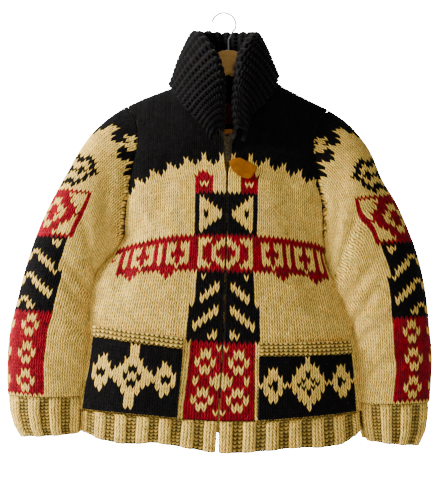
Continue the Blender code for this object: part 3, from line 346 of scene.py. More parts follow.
COLLAR = (
    CollarRow(0.00, -12, -82, -233, -22, -73, -257),
    CollarRow(0.06, -9, -83, -206, -38, -76, -231),
    CollarRow(0.13, -8, -80, -176, -56, -72, -210),
    CollarRow(0.20, -9, -70, -140, -76, -62, -188),
    CollarRow(0.27, -20, -50, -100, -93, -42, -163),
    CollarRow(0.33, -42, -20, -62, -105, -13, -138),
    CollarRow(0.38, -60, 14, -44, -105, 20, -138),
    CollarRow(0.42, -54, 42, -37, -80, 57, -141),
    CollarRow(0.46, -30, 57, -34, -43, 74, -143),
    CollarRow(0.50, 0, 62, -35, 0, 79, -143),
    CollarRow(0.54, 26, 57, -36, 40, 74, -143),
    CollarRow(0.58, 48, 42, -39, 74, 57, -138),
    CollarRow(0.62, 54, 14, -46, 94, 20, -127),
    CollarRow(0.67, 40, -18, -64, 95, -13, -122),
    CollarRow(0.73, 25, -45, -95, 86, -44, -154),
    CollarRow(0.80, 18, -66, -136, 66, -62, -182),
    CollarRow(0.87, 14, -78, -172, 46, -72, -202),
    CollarRow(0.94, 14, -83, -202, 36, -76, -224),
    CollarRow(1.00, 19, -82, -228, 27, -73, -250),
)
POCKETS = (
    Pocket(Side.LEFT, -250, -82, -588, -607, 22),
    Pocket(Side.RIGHT, 57, 229, -616, -616, 25),
)


def to_metres(points: np.ndarray) -> np.ndarray:
    """Turn table millimetres into the frame's metres.

    Args:
        points: Points in millimetres, x from the photo's middle line.

    Returns:
        The points in metres from the hook's inside top.
    """
    return (np.asarray(points, float) - (HOOK_TOP_X, 0.0, 0.0)) * 0.001


def column(rows: Sequence[tuple], name: str) -> np.ndarray:
    """Return one named column of a table."""
    return np.array([getattr(row, name) for row in rows], float)


def smooth(rows: Sequence[tuple], key: str, name: str, at: np.ndarray | float) -> np.ndarray:
    """Read a table's column along a smooth curve through its rows.

    Args:
        rows: The table, in order of its key.
        key: The column that places each row.
        name: The column to read.
        at: Where to read it.

    Returns:
        The value at each place.
    """
    knots = column(rows, key)
    values = column(rows, name)
    slopes = np.gradient(values, knots)
    at = np.clip(np.asarray(at, float), knots[0], knots[-1])
    before = np.clip(np.searchsorted(knots, at) - 1, 0, len(knots) - 2)
    step = knots[before + 1] - knots[before]
    t = (at - knots[before]) / step
    start = values[before] * (1 + 2 * t) * (1 - t) ** 2
    end = values[before + 1] * t * t * (3 - 2 * t)
    leave = slopes[before] * step * t * (1 - t) ** 2
    arrive = slopes[before + 1] * step * t * t * (t - 1)
    return start + end + leave + arrive


def straight(rows: Sequence[tuple], key: str, name: str, at: np.ndarray | float) -> np.ndarray:
    """Read a table's column along straight runs between its rows."""
    return np.interp(at, column(rows, key), column(rows, name))


def mix(start: np.ndarray | float, end: np.ndarray | float, share: np.ndarray | float) -> np.ndarray:
    """Blend two values by a share from 0 to 1."""
    return start + (end - start) * share


def ease(share: np.ndarray | float) -> np.ndarray:
    """Return a share that starts and ends gently."""
    share = np.clip(share, 0, 1)
    return share * share * (3 - 2 * share)


def unit(vectors: np.ndarray) -> np.ndarray:
    """Return vectors at unit length."""
    return vectors / np.maximum(np.linalg.norm(vectors, axis=-1, keepdims=True), 1e-12)


def path_points(points: np.ndarray, shares: np.ndarray) -> np.ndarray:
    """Return points at given shares of a path's length."""
    lengths = np.concatenate([[0], np.cumsum(np.linalg.norm(np.diff(points, axis=0), axis=1))])
    lengths /= lengths[-1]
    return np.stack([np.interp(shares, lengths, points[:, axis]) for axis in range(points.shape[1])], -1)


def grid_normals(grid: np.ndarray) -> np.ndarray:
    """Return a unit normal at each point of a grid of rows and columns."""
    return unit(np.cross(np.gradient(grid, axis=1), np.gradient(grid, axis=0)))


def walked(steps: np.ndarray, axis: int) -> np.ndarray:
    """Return how far along a grid's rows or columns each point lies, from the steps between them."""
    start = np.zeros_like(np.take(steps, [0], axis=axis))
    return np.concatenate([start, np.cumsum(steps, axis=axis)], axis=axis)


@dataclass
class Cloth:
    """A smooth surface of cloth on a grid, and how far across and up each point lies on it.

    Attributes:
        points: The outer face, rows by columns, in millimetres.
        normals: The way out of the cloth at each point.
        across: The wale at each point, growing along each row.
        up: The course at each point, growing along each column.
        wale: A stitch's width where the cloth isn't stretched, in millimetres.
    """

    points: np.ndarray
    normals: np.ndarray
    across: np.ndarray
    up: np.ndarray
    wale: float = WALE

    def read(self, grid: np.ndarray, row: np.ndarray, place: np.ndarray) -> np.ndarray:
        """Read a grid between its own rows and columns.

        Args:
            grid: Values on the cloth's own grid.
            row: Where to read, in rows.
            place: Where to read, in columns.

        Returns:
            The value at each place.
        """
        low = np.clip(row.astype(int), 0, grid.shape[0] - 2)
        left = np.clip(place.astype(int), 0, grid.shape[1] - 2)
        down = row - low
        side = place - left
        if grid.ndim == 3:
            down = down[..., None]
            side = side[..., None]
        bottom = mix(grid[low, left], grid[low, left + 1], side)
        top = mix(grid[low + 1, left], grid[low + 1, left + 1], side)
        return mix(bottom, top, down)

    def find(self, across: np.ndarray, up: np.ndarray) -> tuple[np.ndarray, np.ndarray, np.ndarray]:
        """Find where on the grid a way across and up leads, held to the cloth's edges.

        Args:
            across: The wale of each place.
            up: The course of each place.

        Returns:
            The row and column of each place, and whether it lies on the cloth.
        """
        last_row = self.across.shape[0] - 1
        last_place = self.across.shape[1] - 1
        slopes = [np.gradient(grid, axis=axis) for grid in (self.across, self.up) for axis in (0, 1)]
        row = np.clip(up / self.up.max(), 0, 1) * last_row
        span = self.across.max() - self.across.min()
        place = np.clip((across - self.across.min()) / span, 0, 1) * last_place
        for _ in range(SEARCH_STEPS):
            off_across = across - self.read(self.across, row, place)
            off_up = up - self.read(self.up, row, place)
            across_row, across_place, up_row, up_place = (self.read(slope, row, place) for slope in slopes)
            across_place = np.maximum(across_place, LEAST_SLOPE)
            up_row = np.maximum(up_row, LEAST_SLOPE)
            turn = np.maximum(across_place * up_row - across_row * up_place, across_place * up_row / 3)
            step_place = (off_across * up_row - off_up * across_row) / turn
            step_row = (off_up * across_place - off_across * up_place) / turn
            at_side = (place <= 0) | (place >= last_place)
            at_end = (row <= 0) | (row >= last_row)
            step_row = np.where(at_side, off_up / up_row, step_row)
            step_place = np.where(at_end, off_across / across_place, step_place)
            place = np.clip(place + np.clip(step_place, -LONGEST_STEP, LONGEST_STEP), 0, last_place)
            row = np.clip(row + np.clip(step_row, -LONGEST_STEP, LONGEST_STEP), 0, last_row)
        off_across = np.abs(across - self.read(self.across, row, place))
        off_up = np.abs(up - self.read(self.up, row, place))
        at_side = (place <= 0) | (place >= last_place)
        at_end = (row <= 0) | (row >= last_row)
        outside = at_side & (off_across > NEAR_ENOUGH) | at_end & (off_up > NEAR_ENOUGH)
        return row, place, ~outside

    def cut(self, low: float = -np.inf, high: float = np.inf) -> tuple[float, float, float]:
        """Return the cut's width, length and area, in metres and square metres.

        Args:
            low: The course at which the cut starts.
            high: The course at which it ends.

        Returns:
            The width, the length and the area, no larger than both give.
        """
        part = (self.up >= low) & (self.up <= high)
        along = np.diff(self.points, axis=1)[:-1]
        rise = np.diff(self.points, axis=0)[:, :-1]
        cells = np.linalg.norm(np.cross(along, rise), axis=-1)[part[:-1, :-1]]
        steps = np.linalg.norm(np.diff(self.points, axis=1), axis=-1)
        lengths = np.where(part[:, :-1], steps, 0).sum(axis=1)
        width = float(lengths.max()) * 0.001
        length = float(np.ptp(self.up[part])) * COURSE * 0.001
        return width, length, min(float(cells.sum()) * 1e-6, width * length)


@dataclass
class SweaterForm:
    """The sweater's worn form, as its solids have it, at a finer division."""

    arch: float = 24.0
    arch_rise: float = 330.0
    arch_reach: float = 215.0
    underarm_fill: float = 12.0
    underarm_spread: float = 0.15
    side_fill: float = 12.0
    side_reach: float = 26.0

    def rib_line(self, x: np.ndarray | float) -> np.ndarray:
        """Return the height at which the hem's rib starts."""
        return smooth(RIB_LINE, "x", "z", x)

    def fullness(self, x: np.ndarray, z: np.ndarray) -> np.ndarray:
        """Return the share of the body's full depth at a place, by its section and shoulders."""
        left = smooth(BODY, "z", "left", z)
        right = smooth(BODY, "z", "right", z)
        across = np.abs(2 * x - left - right) / (right - left)
        section = (1 - np.clip(across, 0, 1) ** SECTION_POWER) ** (1 / SECTION_POWER)
        below = np.clip((straight(SHOULDER_LINE, "x", "z", x) - z) / SHOULDER_ROUNDING, 0, 1)
        return section * np.sqrt(1 - (1 - below) ** 2)

    def fold_depth(self, folds: Sequence[Fold], x: np.ndarray, z: np.ndarray) -> np.ndarray:
        """Return how far the cloth is pushed in at a place by soft troughs."""
        depth = np.zeros(np.broadcast(x, z).shape)
        for fold in folds:
            run_x = fold.x_low - fold.x_top
            run_z = fold.z_low - fold.z_top
            share = ((x - fold.x_top) * run_x + (z - fold.z_top) * run_z) / (run_x**2 + run_z**2)
            share = np.clip(share, 0, 1)
            away = (x - fold.x_top - share * run_x) ** 2 + (z - fold.z_top - share * run_z) ** 2
            depth += fold.depth * np.exp(-away / fold.width**2)
        return depth

    def seam_y(self, z: np.ndarray) -> np.ndarray:
        """Return the side seam's place from front to back, straight up to the armpit."""
        above = np.clip((z - ARMPIT_Z) / 120.0, 0, 1)
        return SIDE_SEAM_Y * (1 - above)

    def front_y(self, x: np.ndarray, z: np.ndarray) -> np.ndarray:
        """Return the front's outer surface at a place."""
        full = self.fullness(x, z)
        pushed = self.fold_depth(FRONT_FOLDS, x, z) * np.clip(full * 2 - 0.6, 0, 1)
        return self.seam_y(z) - smooth(BODY, "z", "front", z) * full + pushed

    def back_y(self, x: np.ndarray, z: np.ndarray) -> np.ndarray:
        """Return the back's outer surface at a place."""
        full = self.fullness(x, z)
        pushed = self.fold_depth(BACK_FOLDS, x, z) * np.clip(full * 2 - 0.6, 0, 1)
        return self.seam_y(z) + smooth(BODY, "z", "back", z) * full - pushed

    def armhole_shares(self) -> np.ndarray:
        """Return how far up the armhole each of its rows lies, closer at both ends."""
        even = np.linspace(0, 1, ARMHOLE_ROWS * FINER_ROWS + 1)
        return (1 - np.cos(np.pi * even)) / 2

    def lower_shares(self) -> np.ndarray:
        """Return how far up to the armpit each lower row lies."""
        return np.linspace(0, 1, BODY_ROWS * FINER_ROWS + 1)[:-1]

    def front_edge_path(self, side: Side) -> np.ndarray:
        """Return the front edge's upper run, up the zip and round the neck."""
        heights = np.linspace(ARMPIT_Z, ZIP_TOP_Z, 10)
        gap = straight(OPENING, "z", "half_gap", heights)
        zip_x = smooth(OPENING, "z", "middle", heights) + side.sign * gap
        run = list(zip(zip_x, heights))
        return np.array(run + [(point.x, point.z) for point in NECKLINES[side][1:]])

    def front_outline(self, side: Side) -> np.ndarray:
        """Return a front's points across and up, from the side seam to the zip's edge."""
        armhole = FRONT_ARMHOLES[side]
        across = 1 - np.cos(np.pi / 2 * np.linspace(0, 1, FRONT_COLUMNS * FINER_COLUMNS + 1))
        side_x = -276.0 if side is Side.LEFT else 251.0
        grid = []
        for share in self.lower_shares():
            seam_z = mix(self.rib_line(side_x), ARMPIT_Z, share)
            seam_x = smooth(BODY, "z", side.value, seam_z)
            edge_z = mix(self.rib_line(-17.0), ARMPIT_Z, share)
            gap = side.sign * straight(OPENING, "z", "half_gap", edge_z)
            edge_x = smooth(OPENING, "z", "middle", edge_z) + gap
            x = mix(seam_x, edge_x, across)
            grid.append(np.stack([x, mix(self.rib_line(x), ARMPIT_Z, share)], -1))
        shares = self.armhole_shares()
        edge = path_points(self.front_edge_path(side), shares)
        top_z = armhole[-1].z
        top_x = mix(armhole[-1].x, edge[-1, 0], across)
        lift = straight(SHOULDER_LINE, "x", "z", top_x) - mix(top_z, edge[-1, 1], across)
        for share, (edge_x, edge_z) in zip(shares, edge):
            hole_z = mix(ARMPIT_Z, top_z, share)
            hole_x = smooth(armhole, "z", "x", hole_z)
            x = mix(hole_x, edge_x, across)
            grid.append(np.stack([x, mix(hole_z, edge_z, across) + share * lift], -1))
        return np.array(grid)

    def back_outline(self) -> np.ndarray:
        """Return the back's points across and up, from the left side to the right."""
        even = np.linspace(0, 1, BACK_COLUMNS * FINER_COLUMNS + 1)
        low_across = mix((1 - np.cos(np.pi * even)) / 2, even, 0.25)
        grid = []
        for share in self.lower_shares():
            left_z = mix(self.rib_line(-276.0), ARMPIT_Z, share)
            right_z = mix(self.rib_line(251.0), ARMPIT_Z, share)
            left_x = smooth(BODY, "z", "left", left_z)
            right_x = smooth(BODY, "z", "right", right_z)
            x = mix(left_x, right_x, low_across)
            grid.append(np.stack([x, mix(self.rib_line(x), ARMPIT_Z, share)], -1))
        left_top = BACK_ARMHOLES[Side.LEFT][-1]
        right_top = BACK_ARMHOLES[Side.RIGHT][-1]
        neck_left = NECKLINES[Side.LEFT][-1]
        neck_right = NECKLINES[Side.RIGHT][-1]
        width = right_top.x - left_top.x
        knots = [0, BACK_NECK_LEFT / BACK_COLUMNS, BACK_NECK_RIGHT / BACK_COLUMNS, 1]
        places = [0, (neck_left.x - left_top.x) / width, (neck_right.x - left_top.x) / width, 1]
        high_across = np.interp(even, knots, places)
        top_x = mix(left_top.x, right_top.x, high_across)
        neck_share = np.clip(1 - (top_x / neck_right.x) ** 2, 0, 1)
        neck_line = np.interp(top_x, [neck_left.x, neck_right.x], [neck_left.z, neck_right.z])
        shoulder = straight(SHOULDER_LINE, "x", "z", top_x)
        in_neck = np.abs(top_x) < neck_right.x - 0.1
        top_z = np.where(in_neck, neck_line - BACK_NECK_DROP * neck_share, shoulder)
        lift = top_z - mix(left_top.z, right_top.z, high_across)
        for share in self.armhole_shares():
            left_z = mix(ARMPIT_Z, left_top.z, share)
            right_z = mix(ARMPIT_Z, right_top.z, share)
            across = mix(low_across, high_across, share)
            left_x = smooth(BACK_ARMHOLES[Side.LEFT], "z", "x", left_z)
            right_x = smooth(BACK_ARMHOLES[Side.RIGHT], "z", "x", right_z)
            x = mix(left_x, right_x, across)
            grid.append(np.stack([x, mix(left_z, right_z, across) + share * lift], -1))
        return np.array(grid)

    def arched(self, across: np.ndarray, up: np.ndarray) -> np.ndarray:
        """Return the way up in courses that arch higher in the middle, as they hang."""
        share = np.clip(1 - (across / self.arch_reach) ** 2, 0, 1)
        return up - self.arch * share * ease(up / self.arch_rise)

    def side_push(self, seam_x: np.ndarray, x: np.ndarray, z: np.ndarray) -> np.ndarray:
        """Return how far the body's side is filled out below the armpit, at each place."""
        near = np.exp(-(((x - seam_x) / self.side_reach) ** 2))
        return self.side_fill * near * ease((ARMPIT_Z + 14 - z) / 32)

    def front(self, side: Side) -> Cloth:
        """Return a front as cloth, from the zip's edge outward.

        Args:
            side: The side of the zip that it lies on.

        Returns:
            The cloth, its way across measured from the zip.
        """
        outline = self.front_outline(side)
        x = outline[..., 0]
        z = outline[..., 1]
        outer = np.stack([x, self.front_y(x, z), z], -1)
        armpit = BODY_ROWS * FINER_ROWS
        outer[..., 0] += side.sign * self.side_push(outer[:, :1, 0], outer[..., 0], z)
        outer[: armpit + 1, 0, 1] -= SEAM_GAP / 2
        outer[-1, :, 1] -= SEAM_GAP / 2
        normals = grid_normals(outer) * -side.sign
        normals[: armpit + 1, 0, 1] = 0
        normals[-1, :, 1] = 0
        normals[0, :, 2] = 0
        outer = outer[:, ::-1]
        normals = unit(normals)[:, ::-1]
        steps = np.linalg.norm(np.diff(outer[..., :2], axis=1), axis=-1)
        zip_x = smooth(OPENING, "z", "middle", np.minimum(outer[:, 0, 2], ZIP_TOP_Z))
        zip_x += side.sign * straight(OPENING, "z", "half_gap", outer[:, 0, 2])
        start = np.maximum(side.sign * (outer[:, 0, 0] - zip_x), 0)
        across = start[:, None] + walked(steps, 1)
        rises = np.linalg.norm(np.diff(outer, axis=0), axis=-1)
        up = walked(rises, 0)
        return self.knitted(outer, normals, across, up, FRONT_WALES)

    def knitted(
        self, outer: np.ndarray, normals: np.ndarray, across: np.ndarray, up: np.ndarray, wales: int
    ) -> Cloth:
        """Measure a panel in stitches, whose wales spread with the panel below the armpit.

        Args:
            outer: The outer face.
            normals: The way out of it.
            across: The way across it, in millimetres.
            up: The way up it, in millimetres.
            wales: The wales across it up to the armpit.

        Returns:
            The cloth.
        """
        armpit = BODY_ROWS * FINER_ROWS
        width = np.ptp(across, axis=1)
        width[:armpit] = np.linspace(width[0], width[armpit], armpit)
        width[armpit:] = width[armpit]
        courses = self.arched(across, up) / COURSE
        return Cloth(outer, normals, across * (wales / width)[:, None], courses, width[armpit] / wales)

    def back(self) -> Cloth:
        """Return the back as cloth, its way across measured from its middle."""
        outline = self.back_outline()
        x = outline[..., 0]
        z = outline[..., 1]
        outer = np.stack([x, self.back_y(x, z), z], -1)
        armpit = BODY_ROWS * FINER_ROWS
        outer[..., 0] -= self.side_push(x[:, :1], x, z)
        outer[..., 0] += self.side_push(x[:, -1:], x, z)
        outer[: armpit + 1, [0, -1], 1] += SEAM_GAP / 2
        outer[-1, :, 1] += SEAM_GAP / 2
        normals = -grid_normals(outer)
        normals[: armpit + 1, [0, -1], 1] = 0
        places = np.arange(outer.shape[1])
        on_shoulder = places <= BACK_NECK_LEFT * FINER_COLUMNS
        on_shoulder |= places >= BACK_NECK_RIGHT * FINER_COLUMNS
        normals[-1, on_shoulder, 1] = 0
        normals[0, :, 2] = 0
        steps = np.linalg.norm(np.diff(outer[..., :2], axis=1), axis=-1)
        across = walked(steps, 1)
        across -= across[:, outer.shape[1] // 2][:, None]
        rises = np.linalg.norm(np.diff(outer, axis=0), axis=-1)
        up = walked(rises, 0)
        return self.knitted(outer, unit(normals), across, up, 2 * FRONT_WALES)

    def ring(self, row: SleeveRow, turn: np.ndarray) -> np.ndarray:
        """Return points of a sleeve's section at turns from its outer edge, by the front."""
        angle = 2 * np.pi * turn
        power = 2 / SLEEVE_POWER
        across = np.sign(np.cos(angle)) * np.abs(np.cos(angle)) ** power
        deep = np.sign(np.sin(angle)) * np.abs(np.sin(angle)) ** power
        x = (row.outer_x + row.inner_x) / 2 + across * (row.outer_x - row.inner_x) / 2
        z = (row.outer_z + row.inner_z) / 2 + across * (row.outer_z - row.inner_z) / 2
        return np.stack([x, row.middle_y - deep * row.half_depth, z], -1)

    def sleeve_row(self, rows: Sequence[SleeveRow], along: float) -> SleeveRow:
        """Return a sleeve's section at a share of its length."""
        keyed = column(rows, "outer_z") + column(rows, "inner_z")
        keyed = (keyed - keyed[0]) / (keyed[-1] - keyed[0])
        values = []
        for name in SleeveRow._fields:
            known = column(rows, name)
            slopes = np.gradient(known, keyed)
            before = int(np.clip(np.searchsorted(keyed, along) - 1, 0, len(keyed) - 2))
            step = keyed[before + 1] - keyed[before]
            t = (along - keyed[before]) / step
            values.append(
                known[before] * (1 + 2 * t) * (1 - t) ** 2
                + known[before + 1] * t * t * (3 - 2 * t)
                + slopes[before] * step * t * (1 - t) ** 2
                + slopes[before + 1] * step * t * t * (t - 1)
            )
        return SleeveRow(*values)

    def crease_depth(self, along: float, turn: np.ndarray) -> np.ndarray:
        """Return how far a sleeve's cloth is pushed in by its creases."""
        depth = np.zeros(np.shape(turn))
        for crease in SLEEVE_CREASES:
            around = turn - crease.around
            line = along - crease.along - crease.slant * around
            depth += crease.depth * np.exp(-((around / crease.reach) ** 2) - (line / crease.width) ** 2)
        return depth

    def sleeve(self, side: Side, front: Cloth, back: Cloth) -> Cloth:
        """Return a sleeve as cloth, from the cuff's end up to the armhole.

        Args:
            side: The side of the body.
            front: The front of that side.
            back: The back.

        Returns:
            The cloth, its way across measured from the outer edge, positive on the front.
        """
        armpit = BODY_ROWS * FINER_ROWS
        front_edge = front.points[armpit:, -1]
        back_edge = back.points[armpit:, 0 if side is Side.LEFT else -1]
        shoulder = (front_edge[-1] + back_edge[-1]) / 2
        under = (front_edge[0] + back_edge[0]) / 2
        loop = np.vstack([shoulder, front_edge[1:-1][::-1], under, back_edge[1:-1], shoulder])
        rows = SLEEVES[side]
        turns = np.linspace(0, 1, len(loop))
        start = self.ring(rows[0], turns)
        rings = []
        for along in np.linspace(1, 0, SLEEVE_RINGS + 1):
            ring = self.ring(self.sleeve_row(rows, along), turns)
            ring = ring + np.exp(-((along / 0.07) ** 1.3)) * (loop - start)
            inward = unit(ring[:-1].mean(axis=0) - ring)
            pushed = self.crease_depth(along, turns) * np.clip(along / 0.05, 0, 1)
            pushed[-1] = pushed[0]
            pushed = pushed - self.underarm_push(turns) * ease((along - 0.12) / 0.2)
            rings.append(ring + inward * pushed[:, None])
        grid = np.array(rings)
        half = len(turns) // 2
        grid = np.concatenate([grid[:, half:-1], grid[:, : half + 1]], axis=1)
        return self.tube(grid)

    def tube(self, grid: np.ndarray) -> Cloth:
        """Return cloth round a tube, open along its underarm.

        Args:
            grid: Rings from the low end up, each from the underarm round to it again.

        Returns:
            The cloth, its way across measured from the outer edge.
        """
        normals = grid_normals(grid)
        closed = np.concatenate([grid[:, -2:-1], grid, grid[:, 1:2]], axis=1)
        normals[:, [0, -1]] = grid_normals(closed)[:, [1, -2]]
        if np.sum(normals * (grid - grid.mean(axis=1, keepdims=True))) < 0:
            normals = -normals
        along = np.gradient(grid, axis=0)
        runs = np.diff(grid, axis=1)
        ahead = unit((along[:, 1:] + along[:, :-1]) / 2)
        steps = np.linalg.norm(np.cross(runs, ahead), axis=-1)
        across = walked(steps, 1)
        across -= across[:, grid.shape[1] // 2][:, None]
        rises = np.linalg.norm(np.diff(grid, axis=0), axis=-1)
        up = walked(rises, 0)
        return Cloth(grid, normals, across / WALE, up / COURSE)

    def underarm_push(self, turn: np.ndarray) -> np.ndarray:
        """Return how far a sleeve's inner side is pressed out against the body, at each turn."""
        return self.underarm_fill * np.exp(-(((turn - 0.5) / self.underarm_spread) ** 2))

    def cuff(self, side: Side, sleeve: Cloth) -> Cloth:
        """Return a cuff as cloth, from its low edge up to the sleeve."""
        places = sleeve.points.shape[1]
        turns = np.mod(np.linspace(-0.5, 0.5, places), 1)
        table = [self.ring(row, turns) for row in CUFFS[side]][::-1]
        for ring in table:
            ring += unit(ring - ring.mean(axis=0)) * self.underarm_push(turns)[:, None]
        knots = np.array(table + [sleeve.points[0] - (0, 0, SEAM_GAP)])
        shares = np.linspace(0, len(knots) - 1, 4 * (len(knots) - 1) + 1)
        low = np.clip(shares.astype(int), 0, len(knots) - 2)
        grid = mix(knots[low], knots[low + 1], (shares - low)[:, None, None])
        return self.tube(grid)

    def hem(self, panel: Cloth, front: bool, ends: tuple[Callable, Callable]) -> Cloth:
        """Return a hem rib as cloth, from its low edge up to its panel.

        Args:
            panel: The panel above it.
            front: Whether it is on the front.
            ends: The x of its first and last end at a height.

        Returns:
            The cloth, in the panel's own order.
        """
        top = panel.points[0]
        shares = np.cumsum(np.concatenate([[0], np.linalg.norm(np.diff(top, axis=0), axis=1)]))
        shares /= shares[-1]
        hem = FRONT_HEM if front else BACK_HEM
        surface = self.front_y if front else self.back_y
        grid = []
        for share in np.linspace(1, 0, 13):
            z = mix(top[:, 2], smooth(hem, "x", "z", top[:, 0]), share) - SEAM_GAP * (share == 0)
            first = ends[0](z[0]) - top[0, 0]
            last = ends[1](z[-1]) - top[-1, 0]
            x = top[:, 0] + mix(first, last, shares) * (share > 0)
            row = np.stack([x, surface(x, z), z], -1)
            for end in (0, -1):
                if abs(top[end, 1] - SIDE_SEAM_Y) < 4:
                    row[end, 1] = top[end, 1]
            grid.append(row)
        grid = np.array(grid)
        normals = grid_normals(grid)
        outward = -1 if front else 1
        if np.sum(normals[..., 1]) * outward < 0:
            normals = -normals
        for end in (0, -1):
            if abs(top[end, 1] - SIDE_SEAM_Y) < 4:
                normals[:, end, 1] = 0
        return self.flat_measures(grid, unit(normals))

    def flat_measures(self, grid: np.ndarray, normals: np.ndarray) -> Cloth:
        """Return cloth that is measured along its own rows and columns."""
        steps = np.linalg.norm(np.diff(grid, axis=1), axis=-1)
        across = walked(steps, 1)
        rises = np.linalg.norm(np.diff(grid, axis=0), axis=-1)
        up = walked(rises, 0)
        return Cloth(grid, normals, across / WALE, up / COURSE)

    def patch(self, pocket: Pocket, panel: Cloth, band: bool) -> Cloth:
        """Return a pocket or its band as cloth, raised off its front.

        Args:
            pocket: The pocket.
            panel: The front that carries it.
            band: Whether to return the band on top.

        Returns:
            The cloth, from its low edge up and from the zip outward.
        """
        armpit = BODY_ROWS * FINER_ROWS
        middle = panel.points[3 * FINER_ROWS, :, 0]
        order = np.argsort(middle)
        ends = np.interp([pocket.left, pocket.right], middle[order], order.astype(float))
        places = np.linspace(min(ends), max(ends), 41)
        heights = np.array([
            panel.read(panel.points, np.full(41, float(row)), places)[:, 2]
            for row in range(armpit + 1)
        ])
        x = panel.read(panel.points, np.zeros(41), places)[:, 0]
        top = np.interp(x, [pocket.left, pocket.right], [pocket.top_left, pocket.top_right])
        foot = top - pocket.band
        if not band:
            top = foot - SEAM_GAP
            foot = self.rib_line(x) + 2.0
        wall = BAND_WALL if band else POCKET_WALL
        grid = []
        normals = []
        for share in np.linspace(0, 1, 31):
            z = mix(foot, top, share)
            rows = np.array([np.interp(z[at], heights[:, at], np.arange(armpit + 1)) for at in range(41)])
            normal = unit(panel.read(panel.normals, rows, places))
            grid.append(panel.read(panel.points, rows, places) + (POCKET_GAP + wall) * normal)
            normals.append(normal)
        return self.flat_measures(np.array(grid), np.array(normals))


@dataclass(frozen=True)
class Gauge:
    """How big the stitches are and how far they stand out, in millimetres.

    Attributes:
        wale: A stitch's width on the sleeves.
        course: A stitch's height.
        columns: The points across a stitch.
        rows: The points up a stitch.
        lean: How many courses a stitch's legs rise from its middle to its sides.
        purl_sag: How much of that the bump of a stitch's back sags.
        top: How far a leg stands out.
        side_depth: How much deeper the cloth lies between two legs.
        row_depth: How much deeper it lies between two courses.
        uneven: How uneven the stitches are, in shares of a stitch.
        painted_shade_depths: Depths between the yarns at which the painted shade and highlight are given.
        painted_shade_and_highlight: How light the yarn is painted at those depths: painted shade deep
            between the yarns, where little light falls, and painted highlight on the legs' tops.
    """

    wale: float = WALE
    course: float = COURSE
    columns: int = 6
    rows: int = 3
    lean: float = 1.5
    purl_sag: float = 0.3
    top: float = 1.3
    side_depth: float = 1.15
    row_depth: float = 1.35
    uneven: float = 0.03
    # Painted shade deep between the yarns and painted highlight on the legs' tops, by depth
    painted_shade_depths: tuple[float, ...] = (-0.9, 0.1, 1.2)
    painted_shade_and_highlight: tuple[float, ...] = (0.0, 0.34, 1.56)

    def relief(self, column: np.ndarray, row: np.ndarray, purl: np.ndarray) -> np.ndarray:
        """Return how far each point of the stitches stands out.

        Args:
            column: The share of the stitch's width at each column.
            row: The share of its height at each row.
            purl: Whether the back of the stitch shows at each point.

        Returns:
            The height of each point.
        """
        side = np.abs(np.sin(2 * np.pi * column))[None, :]
        rise = np.abs(np.sin(np.pi * row))[:, None]
        knit = self.top - self.side_depth * (1 - side) - self.row_depth * (1 - rise)
        flank = np.abs(np.sin(np.pi * column))[None, :]
        bump = self.top * (0.3 + 0.7 * flank) * rise - 1.1 * self.row_depth * (1 - rise) - 0.4
        return np.where(purl, bump, knit)


@dataclass
class YarnShades:
    """The yarns' colours, and how much they vary from stitch to stitch."""

    colours: tuple[tuple[float, float, float], ...] = (
        (0.88, 0.58, 0.118),
        (0.0028, 0.0021, 0.0028),
        (0.25, 0.0020, 0.0120),
    )
    variation: tuple[float, float, float] = (0.07, 0.40, 0.16)
    warm_drift: tuple[float, float, float] = (0.05, 0.10, 0.03)

    def dye(self, chart: np.ndarray, rng: np.random.Generator) -> np.ndarray:
        """Colour each stitch of a chart.

        Args:
            chart: The yarn of each stitch.
            rng: The random draw.

        Returns:
            A colour for each stitch.
        """
        base = np.array(self.colours)[chart]
        spread = np.array(self.variation)[chart]
        drift = np.array(self.warm_drift)[chart]
        light = 1 + spread * np.clip(rng.normal(0, 1, chart.shape), -2, 2.4)
        warm = drift * rng.normal(0, 1, chart.shape)
        tint = np.stack([1 + warm, np.ones(chart.shape), 1 - warm], -1)
        return np.clip(base * light[..., None] * tint, 0.002, 1)


